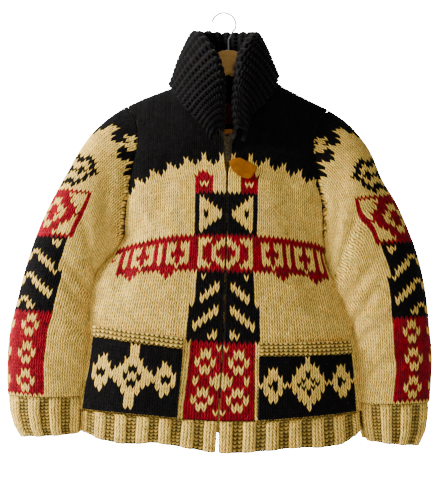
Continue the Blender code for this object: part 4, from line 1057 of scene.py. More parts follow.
@dataclass
class KnittedPiece:
    """One piece of cloth, knitted stitch by stitch.

    Attributes:
        name: The piece's name.
        cloth: The surface it lies on.
        chart: Gives the yarn of each stitch from its wale and course.
        wall: The cloth's thickness.
        fitted: Whole wales and courses fill it, instead of being cut at its edges.
        wales: The number of wales of a fitted piece, or None for the nearest.
        courses: The number of courses of a fitted piece, or None for the nearest.
        kinds: Gives the kind of stitch of each wale and course.
        swell: Gives how far the cloth is raised at shares across and up.
        rows_from: The first course to knit, where a piece is made in two.
        rows_to: The course to stop at.
        gauge: The stitches' sizes.
        ribs: How many ribs it has, each half smooth and half bumps.
        smooth_share: The share of a rib's width that its smooth half takes.
        swell_depths: How low and how high a rib lies, for its painted shade.
        rib_painted_shade_and_highlight: How light the yarn is painted there: painted shade in a rib's low
            wales and a little painted highlight on its high ones.
    """

    name: str
    cloth: Cloth
    chart: Callable[[np.ndarray, np.ndarray], np.ndarray]
    wall: float = WALL
    fitted: bool = False
    wales: int | None = None
    courses: int | None = None
    kinds: Callable[[np.ndarray, np.ndarray], np.ndarray] | None = None
    swell: Callable[[np.ndarray, np.ndarray], np.ndarray] | None = None
    rows_from: int | None = None
    rows_to: int | None = None
    gauge: Gauge = field(default_factory=Gauge)
    ribs: int = 0
    smooth_share: float = 0.6
    # Painted shade in the ribs' low wales and a little painted highlight on their high ones
    swell_depths: tuple[float, float] = (-1.2, 1.5)
    rib_painted_shade_and_highlight: tuple[float, float] = (0.55, 1.06)

    def counts(self) -> tuple[int, int, int, int]:
        """Return the first and last wale and the first and last course."""
        cloth = self.cloth
        spare = int(np.ceil(self.gauge.lean))
        if self.fitted:
            wales = self.wales or round(float(np.mean(cloth.across[:, -1])))
            courses = self.courses or round(float(np.mean(cloth.up[-1])))
            return 0, wales, -spare, courses
        first = int(np.floor(cloth.across.min() + 1e-6))
        last = int(np.ceil(cloth.across.max() - 1e-6))
        low = -spare if self.rows_from is None else self.rows_from
        high = int(np.ceil(cloth.up.max())) if self.rows_to is None else self.rows_to
        return first, last, low, high

    def drift(self, across: np.ndarray, up: np.ndarray, rng: np.random.Generator) -> np.ndarray:
        """Return a slow unevenness over the cloth, between -1 and 1.

        Args:
            across: The wale of each point.
            up: The course of each point.
            rng: The random draw.

        Returns:
            The unevenness at each point.
        """
        total = np.zeros(across.shape)
        for waves in (0.05, 0.11, 0.19):
            turn = rng.uniform(0, 2 * np.pi, 3)
            lean = np.cos(turn[0]) * across + np.sin(turn[0]) * up
            total += np.sin(2 * np.pi * waves * lean + turn[1]) / 3
        return total

    def spread(self, lengths: np.ndarray, shares: np.ndarray) -> np.ndarray:
        """Return where shares of a cloth's size lie in its grid of points."""
        known = (lengths - lengths[0]) / (lengths[-1] - lengths[0])
        return np.interp(shares, known, np.arange(len(known)))

    def lay(self, rng: np.random.Generator) -> StitchGrid:
        """Lay the stitches' points on the cloth.

        Args:
            rng: The random draw, for stitches that are a little uneven.

        Returns:
            The stitches' points and where each lies.
        """
        gauge = self.gauge
        first, last, low, high = self.counts()
        columns = np.arange(gauge.columns * first, gauge.columns * last + 1)
        rows = np.arange(gauge.rows * low, gauge.rows * high + 1)
        wale = np.clip(columns // gauge.columns, first, last - 1)
        course = np.clip(rows // gauge.rows, low, high - 1)
        kind = np.zeros((len(rows), len(columns)), int)
        if self.kinds is not None:
            kind = self.kinds(wale[None, :] - first, course[:, None]) + kind
        purl = kind == Stitch.PURL
        inside_wale = np.mod(columns, gauge.columns) / gauge.columns
        inside_course = np.mod(rows, gauge.rows) / gauge.rows
        rise = np.abs(2 * inside_wale - 1)
        lean = gauge.lean * np.where(purl, 1 - gauge.purl_sag * (1 - rise), rise)
        across = np.broadcast_to(columns / gauge.columns, kind.shape).copy()
        up = rows[:, None] / gauge.rows + lean
        noise = rng.normal(0, gauge.uneven, (2, *kind.shape))
        across[:, 1:-1] += noise[0][:, 1:-1] + 0.10 * self.drift(across, up, rng)[:, 1:-1]
        up = up + noise[1] + 0.16 * self.drift(across, up, rng)
        if self.fitted:
            inside = (up > 0) & (up < high)
            cloth_rows = self.spread(self.cloth.up.mean(axis=1), up / high)
            shares = (across - first) / (last - first)
            if self.ribs:
                phase = np.interp(np.mod(shares * self.ribs, 1), (0, 0.5, 1), (0, self.smooth_share, 1))
                shares = (np.floor(shares * self.ribs) + phase) / self.ribs
            places = self.spread(self.cloth.across.mean(axis=0), shares)
        else:
            cloth_rows, places, inside = self.cloth.find(across, up)
        stitch_size = rng.normal(1, 0.09, (high - low + 1, last - first + 1))
        size = stitch_size[course - low][:, wale - first]
        relief = gauge.relief(inside_wale, inside_course, purl)
        relief = gauge.top - (gauge.top - relief) * size + rng.normal(0, 0.07, relief.shape)
        relief = np.where(inside, relief, EDGE_DEPTH)
        base = self.cloth.read(self.cloth.points, cloth_rows, places)
        normal = unit(self.cloth.read(self.cloth.normals, cloth_rows, places))
        swell = np.zeros(relief.shape)
        if self.swell is not None:
            shares = (across - first) / (last - first)
            swell = self.swell(shares, np.clip(up / high, 0, 1))
        return StitchGrid(base, normal, relief + swell, swell, inside, wale[:-1], course[:-1])

    def build(self, shades: YarnShades, seed: int) -> bpy.types.Object:
        """Knit the piece and make it an object, with each stitch in its yarn's colour, darkened by painted
        shade and lightened by painted highlight.

        Args:
            shades: The yarns' colours.
            seed: The random draw's seed.

        Returns:
            The object.
        """
        rng = np.random.default_rng(seed)
        grid = self.lay(rng)
        kept = grid.kept_faces()
        outer = to_metres(grid.base + grid.relief[..., None] * grid.normal)
        inner = to_metres(grid.base - self.wall * grid.normal)
        wales = np.unique(grid.wale)
        courses = np.unique(grid.course)
        chart = self.chart(wales[None, :], courses[:, None]) + np.zeros((len(courses), len(wales)), int)
        colours = shades.dye(chart, rng)
        face_colour = colours[grid.course - courses[0]][:, grid.wale - wales[0]]
        out_of_order = np.sum(
            np.cross(
                grid.base[:-1, 1:] - grid.base[:-1, :-1], grid.base[1:, :-1] - grid.base[:-1, :-1]
            )
            * grid.normal[:-1, :-1]
        ) < 0
        # Painted shade deep between the yarns and painted highlight on their tops, then painted shade in
        # the ribs' low wales, multiply each corner's colour
        painted_light_factor = np.interp(grid.relief - grid.swell, self.gauge.painted_shade_depths, self.gauge.painted_shade_and_highlight)
        if self.swell is not None:
            painted_light_factor = painted_light_factor * np.interp(grid.swell, self.swell_depths, self.rib_painted_shade_and_highlight)
        cell = (self.gauge.columns, self.gauge.rows)
        maker = WallMesh(outer, inner, kept, face_colour, painted_light_factor, bool(out_of_order), cell)
        return maker.build(self.name)


@dataclass
class StitchGrid:
    """A grid of stitch points, several to a stitch.

    Attributes:
        base: The points on the cloth.
        normal: The way out of the cloth.
        relief: How far each point stands out.
        swell: How much of that is the rib's and not the stitch's.
        inside: Whether each point lies on the cloth and isn't held to its edge.
        wale: The wale of each column of faces.
        course: The course of each row of faces.
    """

    base: np.ndarray
    normal: np.ndarray
    relief: np.ndarray
    swell: np.ndarray
    inside: np.ndarray
    wale: np.ndarray
    course: np.ndarray

    def kept_faces(self) -> np.ndarray:
        """Return which faces have some of the cloth under them."""
        inside = self.inside
        return inside[:-1, :-1] | inside[:-1, 1:] | inside[1:, :-1] | inside[1:, 1:]


@dataclass
class WallMesh:
    """A closed wall: a fine outer face, a plain inner face and a rim that joins them.

    Attributes:
        outer: The outer points, in metres.
        inner: The inner points, in metres.
        kept: Which faces of the grid there are.
        colour: A colour for each face of the grid.
        light: The painted shade and highlight of each outer point, by how deep it lies between the yarns.
        turned: Whether the grid's own order faces inward.
        cell: How many columns and rows one plain inner face covers.
    """

    outer: np.ndarray
    inner: np.ndarray
    kept: np.ndarray
    colour: np.ndarray
    light: np.ndarray
    turned: bool
    cell: tuple[int, int] = (4, 4)

    def inner_faces(self, index: np.ndarray) -> tuple[list[list[int]], list[tuple[int, int]]]:
        """Return the plain inner faces, fine only beside the wall's edges.

        Args:
            index: The inner points' numbers on the grid.

        Returns:
            The faces' points, and the row and column that each takes its colour from.
        """
        rows, columns = self.kept.shape
        step_x, step_z = self.cell
        down = rows // step_z
        side = columns // step_x
        whole = np.zeros((down, side), bool)
        for row in range(down):
            block = self.kept[row * step_z:(row + 1) * step_z, : side * step_x]
            whole[row] = block.reshape(step_z, side, step_x).all(axis=(0, 2))
        whole[[0, -1]] = False
        whole[:, [0, -1]] = False
        faces: list[list[int]] = []
        sources: list[tuple[int, int]] = []
        for row, place in zip(*np.nonzero(whole)):
            r0, c0 = row * step_z, place * step_x
            r1, c1 = r0 + step_z, c0 + step_x
            low = [index[r0, c0]] if whole[row - 1, place] else list(index[r0, c0:c1])
            right = [index[r0, c1]] if whole[row, place + 1] else list(index[r0:r1, c1])
            high = [index[r1, c1]] if whole[row + 1, place] else list(index[r1, c1:c0:-1])
            left = [index[r1, c0]] if whole[row, place - 1] else list(index[r1:r0:-1, c0])
            faces.append(low + right + high + left)
            sources.append((r0, c0))
        covered = np.zeros_like(self.kept)
        cells = np.kron(whole, np.ones((step_z, step_x), int)).astype(bool)
        covered[: down * step_z, : side * step_x] = cells
        for row, place in zip(*np.nonzero(self.kept & ~covered)):
            faces.append([
                index[row, place], index[row, place + 1], index[row + 1, place + 1], index[row + 1, place],
            ])
            sources.append((row, place))
        return faces, sources

    def rim_edges(self) -> list[tuple[tuple[int, int], tuple[int, int], tuple[int, int]]]:
        """Return the edges with one face beside them, in that face's order, and the face."""
        rows, columns = self.kept.shape
        padded = np.zeros((rows + 2, columns + 2), bool)
        padded[1:-1, 1:-1] = self.kept
        edges = []
        for row, place in zip(*np.nonzero(self.kept)):
            if not padded[row, place + 1]:
                edges.append(((row, place), (row, place + 1), (row, place)))
            if not padded[row + 2, place + 1]:
                edges.append(((row + 1, place + 1), (row + 1, place), (row, place)))
            if not padded[row + 1, place]:
                edges.append(((row + 1, place), (row, place), (row, place)))
            if not padded[row + 1, place + 2]:
                edges.append(((row, place + 1), (row + 1, place + 1), (row, place)))
        return edges

    def build(self, name: str) -> bpy.types.Object:
        """Make the wall an object, with a colour on each corner, the outer ones carrying painted shade and
        highlight, and a map for baking.
        """
        rows, columns = self.outer.shape[:2]
        count = rows * columns
        index = np.arange(count).reshape(rows, columns)
        face_rows, face_columns = np.nonzero(self.kept)
        quads = np.stack([
            index[face_rows, face_columns], index[face_rows, face_columns + 1],
            index[face_rows + 1, face_columns + 1], index[face_rows + 1, face_columns],
        ], -1)
        inner_faces, sources = self.inner_faces(index + count)
        rim = self.rim_edges()
        loops = [quads[:, ::-1] if self.turned else quads]
        totals = [np.full(len(quads), 4)]
        # The outer corners' colours carry painted shade and painted highlight
        painted_light_factor = self.light.ravel()[loops[0].ravel()][:, None]
        colours = [np.repeat(self.colour[face_rows, face_columns], 4, axis=0) * painted_light_factor]
        grid_map = np.stack(np.meshgrid(np.linspace(0, 1, columns), np.linspace(0, 1, rows)), -1)
        flat_map = grid_map.reshape(-1, 2)
        maps = [flat_map[loops[0].ravel()] * (0.998, 0.618) + (0.001, 0.001)]
        inner_loops = [face if self.turned else face[::-1] for face in inner_faces]
        joined = np.concatenate([np.array(face) for face in inner_loops])
        inner_totals = np.array([len(face) for face in inner_loops])
        loops.append(joined)
        totals.append(inner_totals)
        source = np.array(sources)
        inner_colour = self.colour[source[:, 0], source[:, 1]]
        colours.append(np.repeat(inner_colour, inner_totals, axis=0))
        maps.append(flat_map[joined - count] * (0.998, 0.316) + (0.001, 0.626))
        flat_index = index.ravel()
        rim_loops = []
        rim_colour = []
        for start, end, owner in rim:
            first = index[start]
            second = index[end]
            quad = [second, first, first + count, second + count]
            rim_loops.append(quad[::-1] if self.turned else quad)
            rim_colour.append(self.colour[owner])
        share = np.arange(len(rim)) / len(rim)
        width = 1 / len(rim)
        corner = np.array([(width, 0), (0, 0), (0, 1), (width, 1)])
        rim_map = np.stack([share, np.zeros(len(rim))], -1)[:, None, :] + corner[None]
        if self.turned:
            rim_map = rim_map[:, ::-1]
        loops.append(np.array(rim_loops))
        totals.append(np.full(len(rim), 4))
        colours.append(np.repeat(np.array(rim_colour), 4, axis=0))
        maps.append(rim_map.reshape(-1, 2) * (0.998, 0.03) + (0.001, 0.955))
        all_loops = np.concatenate([part.ravel() for part in loops])
        all_totals = np.concatenate(totals)
        used, all_loops = np.unique(all_loops, return_inverse=True)
        points = np.concatenate([self.outer.reshape(-1, 3), self.inner.reshape(-1, 3)])[used]
        mesh = bpy.data.meshes.new(name)
        mesh.vertices.add(len(points))
        mesh.vertices.foreach_set("co", points.ravel())
        mesh.loops.add(len(all_loops))
        mesh.loops.foreach_set("vertex_index", all_loops.astype(np.int32))
        mesh.polygons.add(len(all_totals))
        starts = np.concatenate([[0], np.cumsum(all_totals)[:-1]])
        mesh.polygons.foreach_set("loop_start", starts.astype(np.int32))
        mesh.polygons.foreach_set("loop_total", all_totals.astype(np.int32))
        layer = mesh.color_attributes.new(name="Yarn", type="FLOAT_COLOR", domain="CORNER")
        rgb = np.concatenate(colours)
        layer.data.foreach_set("color", np.concatenate([rgb, np.ones((len(rgb), 1))], axis=1).ravel())
        uv = mesh.uv_layers.new(name="OFBake")
        uv.data.foreach_set("uv", np.concatenate(maps).ravel())
        mesh.update(calc_edges=True)
        mesh.validate()
        mesh.shade_smooth()
        thing = bpy.data.objects.new(name, mesh)
        bpy.context.scene.collection.objects.link(thing)
        LOG.info("%s: %d faces, %d of them inside, grid %d x %d",
                 name, len(all_totals), len(inner_totals), len(flat_index) // columns, columns)
        return thing


class Charts:
    """The sweater's patterns, as the yarn of each stitch.

    The wales are counted outward from the zip, or from the middle of the back and of a sleeve,
    and the courses upward from the rib.
    """

    yoke_course = 68
    tooth = (0, 1, 3, 1)
    tooth_step = 0.9
    band_low = 38
    band_high = 47
    band_end = 26
    column_top = 66
    sleeve_middle = 4
    cap_course = 82
    cap_slope = 1.2
    cap_out = 6

    def teeth(self, out: np.ndarray) -> np.ndarray:
        """Return how many courses later the dark yarn starts at each wale of a toothed edge."""
        return np.array(self.tooth)[np.mod(out + 2, len(self.tooth))]

    def yoke(self, out: np.ndarray, course: np.ndarray) -> np.ndarray:
        """Return where the dark yoke is, above its toothed edge."""
        return course >= self.yoke_course - np.floor(out / 4) * self.tooth_step + self.teeth(out)

    def band(self, out: np.ndarray, course: np.ndarray) -> np.ndarray:
        """Return where the red chest band is: two lines, bars and diamonds between, teeth below."""
        level = course - self.band_low
        top = self.band_high - self.band_low
        place = np.mod(out - 7, 8)
        lines = (level == top) | (level == top - 1) | (level == 0) | (level == 1) & (place != 3)
        bars = (place == 0) | (place == 6)
        ring = np.abs(place - 3) + np.abs(level - 4.5) * 0.6
        shapes = (bars | (ring < 1.9)) & (level > 0) & (level < top)
        teeth = (level < 0) & (level > -3) & (np.abs(np.mod(out, 8) - 4) < 2.6 + level)
        end = self.band_end - np.floor(np.clip(7 - level, 0, 8) / 3)
        return (lines | shapes | teeth) & (out < end)

    def diamond(self, out: np.ndarray, level: np.ndarray, middle: float, height: float) -> np.ndarray:
        """Return a stepped distance from a diamond's middle, counted in wales."""
        return np.abs(out - middle) + np.abs(level - height) * 0.7

    def column(self, out: np.ndarray, course: np.ndarray) -> np.ndarray:
        """Return the blocks beside the zip: 0 for none, or a yarn plus 1."""
        shown = np.zeros(np.broadcast(out, course).shape, int)
        ring = self.diamond(out, np.mod(course, 10), 2.5, 4.5)
        cream = (ring > 1.1) & (ring < 2.5) | (ring > 4.4)
        cream &= (out < 5) & (course > 0) & (course < 19)
        block = (out < 6) & (course < 20)
        shown = np.where(block, np.where(cream, Yarn.CREAM, Yarn.RED) + 1, shown)
        level = course - 20
        wide = np.where(level < 9, 7, 6)
        stripe = np.mod(level + out, 6)
        cream = ((stripe == 2) | (stripe == 3)) & (out > 0) & (out < wide - 1) & (level > 0) & (level < 17)
        block = (out < wide) & (level >= 0) & (level < 18)
        shown = np.where(block, np.where(cream, Yarn.CREAM, Yarn.DARK) + 1, shown)
        level = course - self.band_low
        ring = self.diamond(out, level, 0, 4.5)
        cream = ((ring > 1.6) & (ring < 3.3) | (ring > 5.1)) & (out < 6) & (level > 0) & (level < 9)
        block = (out < 7) & (level >= 0) & (level < 10)
        shown = np.where(block, np.where(cream, Yarn.CREAM, Yarn.RED) + 1, shown)
        level = course - 48
        waist = 1 + np.floor(np.abs(level - 5.5) * 0.9)
        cream = (out >= waist) & (out < 6) & (level > 0) & (level < 11)
        cream &= ~((out == 4) & (np.abs(level - 5.5) < 1))
        block = (out < 7) & (level >= 0) & (level < 12)
        shown = np.where(block, np.where(cream, Yarn.CREAM, Yarn.DARK) + 1, shown)
        level = course - 60
        block = (out > 2) & (level >= 0) & (level < 6 - np.abs(out - 4.5)) & (out < 7)
        block &= ~((np.abs(out - 4.5) < 1) & (level == 2))
        return np.where(block, Yarn.RED + 1, shown)

    def front(self, wale: np.ndarray, course: np.ndarray) -> np.ndarray:
        """Return a front's chart, from the zip outward and from the rib up."""
        chart = np.where(self.band(wale, course), Yarn.RED, Yarn.CREAM)
        block = self.column(wale, course)
        covered = (wale < 8) & (course < self.column_top)
        chart = np.where(block > 0, block - 1, np.where(covered & (wale < 7), Yarn.CREAM, chart))
        return np.where(self.yoke(wale, course), Yarn.DARK, chart)

    def back(self, wale: np.ndarray, course: np.ndarray) -> np.ndarray:
        """Return the back's chart, from its middle outward and from the rib up."""
        out = np.where(wale < 0, -1 - wale, wale)
        chart = np.where(self.band(out, course), Yarn.RED, Yarn.CREAM)
        ring = self.diamond(out, course, 0, 19)
        chart = np.where((ring > 10) & (ring < 12), Yarn.DARK, chart)
        chart = np.where((ring > 5.5) & (ring < 7.5), Yarn.RED, chart)
        chart = np.where(ring < 2.6, Yarn.DARK, chart)
        ring = self.diamond(out, course, 0, 57)
        chart = np.where((ring > 4) & (ring < 5.6) | (ring < 1.6), Yarn.DARK, chart)
        return np.where(self.yoke(out, course), Yarn.DARK, chart)

    def sleeve(self, wale: np.ndarray, course: np.ndarray) -> np.ndarray:
        """Return a sleeve's chart, from its outer edge round and from the cuff up."""
        out = np.where(wale < self.sleeve_middle, self.sleeve_middle - 1 - wale, wale - self.sleeve_middle)
        shown = np.zeros(np.broadcast(wale, course).shape, int)
        ring = self.diamond(np.mod(out, 6), np.mod(course, 8), 2.5, 3.5)
        cream = (ring > 0.9) & (ring < 2.4) & (out < 6) & (course > 0) & (course < 23)
        block = (out < 7) & (course >= 0) & (course < 24)
        shown = np.where(block, np.where(cream, Yarn.CREAM, Yarn.RED), shown)
        level = course - 24
        wide = np.where(level < 12, 7, 6)
        stripe = np.mod(level + out, 7)
        cream = ((stripe == 2) | (stripe == 3)) & (out > 0) & (out < wide - 1) & (level > 0) & (level < 21)
        cream |= (out == 0) & (np.mod(level, 7) == 3) & (level > 0) & (level < 21)
        block = (out < wide) & (level >= 0) & (level < 22)
        shown = np.where(block, np.where(cream, Yarn.CREAM, Yarn.DARK), shown)
        level = course - 46
        ring = self.diamond(out, level, 0, 7)
        cream = ((ring > 1.4) & (ring < 3.0) | (ring > 5.6)) & (out < 6) & (level > 0) & (level < 14)
        block = (out < 7) & (level >= 0) & (level < 15)
        shown = np.where(block, np.where(cream, Yarn.CREAM, Yarn.RED), shown)
        level = course - 62
        ring = self.diamond(out, level, 1, 5)
        dark = ((ring > 2.6) & (ring < 4.4) | (ring < 1.2)) & (level >= 0) & (level < 11)
        shown = np.where(dark, Yarn.DARK, shown)
        edge = self.cap_course - np.floor(self.cap_slope * out)
        ring = self.diamond(out, course, self.cap_out, self.cap_course + 1)
        cap = (course >= edge + self.teeth(out)) & ~((ring > 1.3) & (ring < 3.2))
        return np.where(cap, Yarn.DARK, shown)

    def pocket(self, wales: int, courses: int) -> Callable[[np.ndarray, np.ndarray], np.ndarray]:
        """Return a pocket's chart: a stepped star between two small diamonds on dark ground."""

        def chart(wale: np.ndarray, course: np.ndarray) -> np.ndarray:
            """Return the yarn of each stitch."""
            out = np.abs(wale - (wales - 1) / 2)
            level = np.abs(course - (courses - 1) / 2)
            ring = out + level * 0.62
            star = (ring > 2.2) & (ring < 4.6) | (ring < 1.1)
            side = np.abs(out - wales / 2 + 3.1) + level * 0.5
            small = (side > 0.9) & (side < 2.7)
            bar = (out < 1) & (level > courses / 2 - 3.6) & (level < courses / 2 - 1)
            return np.where(star | small | bar, Yarn.CREAM, Yarn.DARK)

        return chart

    def plain(self, yarn: Yarn) -> Callable[[np.ndarray, np.ndarray], np.ndarray]:
        """Return a chart of one yarn."""

        def chart(wale: np.ndarray, course: np.ndarray) -> np.ndarray:
            """Return the yarn of each stitch."""
            return np.full(np.broadcast(wale, course).shape, int(yarn))

        return chart


class NodeBench:
    """Lays out and joins the nodes of one material."""

    def __init__(self, name: str) -> None:
        """Start a material of a given name."""
        self.material = bpy.data.materials.new(name)
        self.material.use_nodes = True
        self.tree = self.material.node_tree
        self.shader = self.tree.nodes["Principled BSDF"]

    def add(self, kind: str, **values: object) -> bpy.types.Node:
        """Add a node and set its inputs or properties by name.

        Args:
            kind: The node's type.
            **values: Inputs, with spaces as underscores, or properties.

        Returns:
            The node.
        """
        node = self.tree.nodes.new(kind)
        for name, value in values.items():
            title = name.replace("_", " ")
            if title in node.inputs:
                node.inputs[title].default_value = value
            else:
                setattr(node, name, value)
        return node

    def join(self, start: bpy.types.NodeSocket, end: bpy.types.NodeSocket) -> None:
        """Join two sockets."""
        self.tree.links.new(start, end)

    def grade(
        self, source: bpy.types.NodeSocket, stops: Sequence[tuple[float, tuple[float, ...]]]
    ) -> bpy.types.Node:
        """Add a ramp of colours that a value drives."""
        ramp = self.add("ShaderNodeValToRGB")
        elements = ramp.color_ramp.elements
        while len(elements) < len(stops):
            elements.new(0.5)
        for element, (place, colour) in zip(elements, stops):
            element.position = place
            element.color = (*colour, 1) if len(colour) == 3 else colour
        self.join(source, ramp.inputs["Fac"])
        return ramp

    def bump(self, source: bpy.types.NodeSocket, strength: float, distance: float) -> bpy.types.Node:
        """Raise the surface by a value."""
        bump = self.add("ShaderNodeBump", Strength=strength, Distance=distance)
        self.join(source, bump.inputs["Height"])
        return bump


@dataclass(frozen=True)
class WoolFinish:
    """Thick handspun wool: matt, fibrous, a little uneven in colour."""

    roughness: float = 0.95
    sheen: float = 0.05
    fibre_scale: float = 950.0
    mottle_scale: float = 38.0

    def make(self, name: str) -> bpy.types.Material:
        """Make the wool's material."""
        bench = NodeBench(name)
        shader = bench.shader
        shader.inputs["Roughness"].default_value = self.roughness
        shader.inputs["Sheen Weight"].default_value = self.sheen
        shader.inputs["Sheen Roughness"].default_value = 0.5
        shader.inputs["Specular IOR Level"].default_value = 0.06
        place = bench.add("ShaderNodeTexCoord")
        fibre = bench.add("ShaderNodeTexNoise", Scale=self.fibre_scale, Detail=3.0, Roughness=0.6)
        mottle = bench.add("ShaderNodeTexNoise", Scale=self.mottle_scale, Detail=2.0, Roughness=0.5)
        bench.join(place.outputs["Object"], fibre.inputs["Vector"])
        bench.join(place.outputs["Object"], mottle.inputs["Vector"])
        yarn = bench.add("ShaderNodeVertexColor", layer_name="Yarn")
        fine = bench.grade(fibre.outputs["Fac"], [(0.3, (0.72, 0.70, 0.66)), (0.7, (1.14, 1.14, 1.12))])
        broad = bench.grade(mottle.outputs["Fac"], [(0.3, (0.92, 0.91, 0.88)), (0.7, (1.06, 1.06, 1.05))])
        first = bench.add("ShaderNodeMix", data_type="RGBA", blend_type="MULTIPLY")
        first.inputs["Factor"].default_value = 1.0
        bench.join(yarn.outputs["Color"], first.inputs[6])
        bench.join(fine.outputs["Color"], first.inputs[7])
        second = bench.add("ShaderNodeMix", data_type="RGBA", blend_type="MULTIPLY")
        second.inputs["Factor"].default_value = 1.0
        bench.join(first.outputs[2], second.inputs[6])
        bench.join(broad.outputs["Color"], second.inputs[7])
        bench.join(second.outputs[2], shader.inputs["Base Color"])
        bump = bench.bump(fibre.outputs["Fac"], 0.55, 0.0009)
        bench.join(bump.outputs["Normal"], shader.inputs["Normal"])
        return bench.material


@dataclass(frozen=True)
class WoodFinish:
    """Satin varnished light wood with a long fine grain."""

    pale: tuple[float, float, float] = (0.56, 0.30, 0.060)
    deep: tuple[float, float, float] = (0.40, 0.19, 0.030)
    roughness: float = 0.42

    def make(self, name: str) -> bpy.types.Material:
        """Make the wood's material."""
        bench = NodeBench(name)
        shader = bench.shader
        shader.inputs["Roughness"].default_value = self.roughness
        shader.inputs["Specular IOR Level"].default_value = 0.2
        place = bench.add("ShaderNodeTexCoord")
        stretch = bench.add("ShaderNodeMapping", Scale=(14.0, 60.0, 160.0))
        grain = bench.add("ShaderNodeTexNoise", Scale=4.0, Detail=5.0, Roughness=0.55, Distortion=0.6)
        bench.join(place.outputs["Object"], stretch.inputs["Vector"])
        bench.join(stretch.outputs["Vector"], grain.inputs["Vector"])
        ramp = bench.grade(grain.outputs["Fac"], [(0.32, self.deep), (0.6, self.pale)])
        bench.join(ramp.outputs["Color"], shader.inputs["Base Color"])
        bump = bench.bump(grain.outputs["Fac"], 0.12, 0.0003)
        bench.join(bump.outputs["Normal"], shader.inputs["Normal"])
        return bench.material


@dataclass(frozen=True)
class LeatherFinish:
    """Tan leather, darker in soft clouds, with a fine grain."""

    pale: tuple[float, float, float] = (0.23, 0.075, 0.0)
    deep: tuple[float, float, float] = (0.12, 0.034, 0.0)
    roughness: float = 0.5

    def make(self, name: str) -> bpy.types.Material:
        """Make the leather's material."""
        bench = NodeBench(name)
        shader = bench.shader
        shader.inputs["Roughness"].default_value = self.roughness
        place = bench.add("ShaderNodeTexCoord")
        cloud = bench.add("ShaderNodeTexNoise", Scale=60.0, Detail=4.0, Roughness=0.6)
        grain = bench.add("ShaderNodeTexVoronoi", Scale=1400.0)
        bench.join(place.outputs["Object"], cloud.inputs["Vector"])
        bench.join(place.outputs["Object"], grain.inputs["Vector"])
        ramp = bench.grade(cloud.outputs["Fac"], [(0.3, self.deep), (0.62, self.pale)])
        shader.inputs["Specular IOR Level"].default_value = 0.12
        bench.join(ramp.outputs["Color"], shader.inputs["Base Color"])
        bump = bench.bump(grain.outputs["Distance"], 0.25, 0.0002)
        bench.join(bump.outputs["Normal"], shader.inputs["Normal"])
        return bench.material


@dataclass(frozen=True)
class MetalFinish:
    """Plated or aged metal, with a cloudy polish."""

    colour: tuple[float, float, float]
    dark: tuple[float, float, float]
    roughness: float
    worn_roughness: float

    def make(self, name: str) -> bpy.types.Material:
        """Make the metal's material."""
        bench = NodeBench(name)
        shader = bench.shader
        shader.inputs["Metallic"].default_value = 1.0
        place = bench.add("ShaderNodeTexCoord")
        cloud = bench.add("ShaderNodeTexNoise", Scale=260.0, Detail=3.0, Roughness=0.6)
        bench.join(place.outputs["Object"], cloud.inputs["Vector"])
        ramp = bench.grade(cloud.outputs["Fac"], [(0.35, self.dark), (0.6, self.colour)])
        bench.join(ramp.outputs["Color"], shader.inputs["Base Color"])
        polish = bench.add("ShaderNodeMapRange", To_Min=self.worn_roughness, To_Max=self.roughness)
        bench.join(cloud.outputs["Fac"], polish.inputs["Value"])
        bench.join(polish.outputs["Result"], shader.inputs["Roughness"])
        return bench.material


@dataclass(frozen=True)
class WovenFinish:
    """A narrow woven tape or label, with its threads crossing."""

    colour: tuple[float, float, float]
    shade: tuple[float, float, float]
    thread_scale: float = 2600.0

    def make(self, name: str) -> bpy.types.Material:
        """Make the tape's material."""
        bench = NodeBench(name)
        shader = bench.shader
        shader.inputs["Roughness"].default_value = 0.85
        shader.inputs["Sheen Weight"].default_value = 0.1
        place = bench.add("ShaderNodeTexCoord")
        along = bench.add("ShaderNodeTexWave", Scale=self.thread_scale / 8, Distortion=0.6)
        across = bench.add(
            "ShaderNodeTexWave", Scale=self.thread_scale / 8, Distortion=0.6, bands_direction="Z"
        )
        bench.join(place.outputs["Object"], along.inputs["Vector"])
        bench.join(place.outputs["Object"], across.inputs["Vector"])
        both = bench.add("ShaderNodeMath", operation="MULTIPLY")
        bench.join(along.outputs["Fac"], both.inputs[0])
        bench.join(across.outputs["Fac"], both.inputs[1])
        ramp = bench.grade(both.outputs["Value"], [(0.0, self.shade), (0.7, self.colour)])
        bench.join(ramp.outputs["Color"], shader.inputs["Base Color"])
        bump = bench.bump(both.outputs["Value"], 0.4, 0.0003)
        bench.join(bump.outputs["Normal"], shader.inputs["Normal"])
        return bench.material


@dataclass
class Wardrobe:
    """All the sweater's finishes, made once."""

    wool: bpy.types.Material = field(init=False)
    wood: bpy.types.Material = field(init=False)
    leather: bpy.types.Material = field(init=False)
    brass: bpy.types.Material = field(init=False)
    steel: bpy.types.Material = field(init=False)
    tape: bpy.types.Material = field(init=False)
    label: bpy.types.Material = field(init=False)

    def __post_init__(self) -> None:
        """Make the materials."""
        self.wool = WoolFinish().make("Handspun wool")
        self.wood = WoodFinish().make("Varnished light wood")
        self.leather = LeatherFinish().make("Tan leather")
        self.brass = MetalFinish((0.13, 0.10, 0.05), (0.018, 0.013, 0.007), 0.22, 0.5).make("Aged brass")
        self.steel = MetalFinish((0.78, 0.78, 0.80), (0.66, 0.66, 0.69), 0.08, 0.16).make("Plated wire")
        self.tape = WovenFinish((0.10, 0.07, 0.045), (0.03, 0.02, 0.014)).make("Zip tape")
        self.label = WovenFinish((0.24, 0.035, 0.022), (0.09, 0.013, 0.008)).make("Blank woven label")


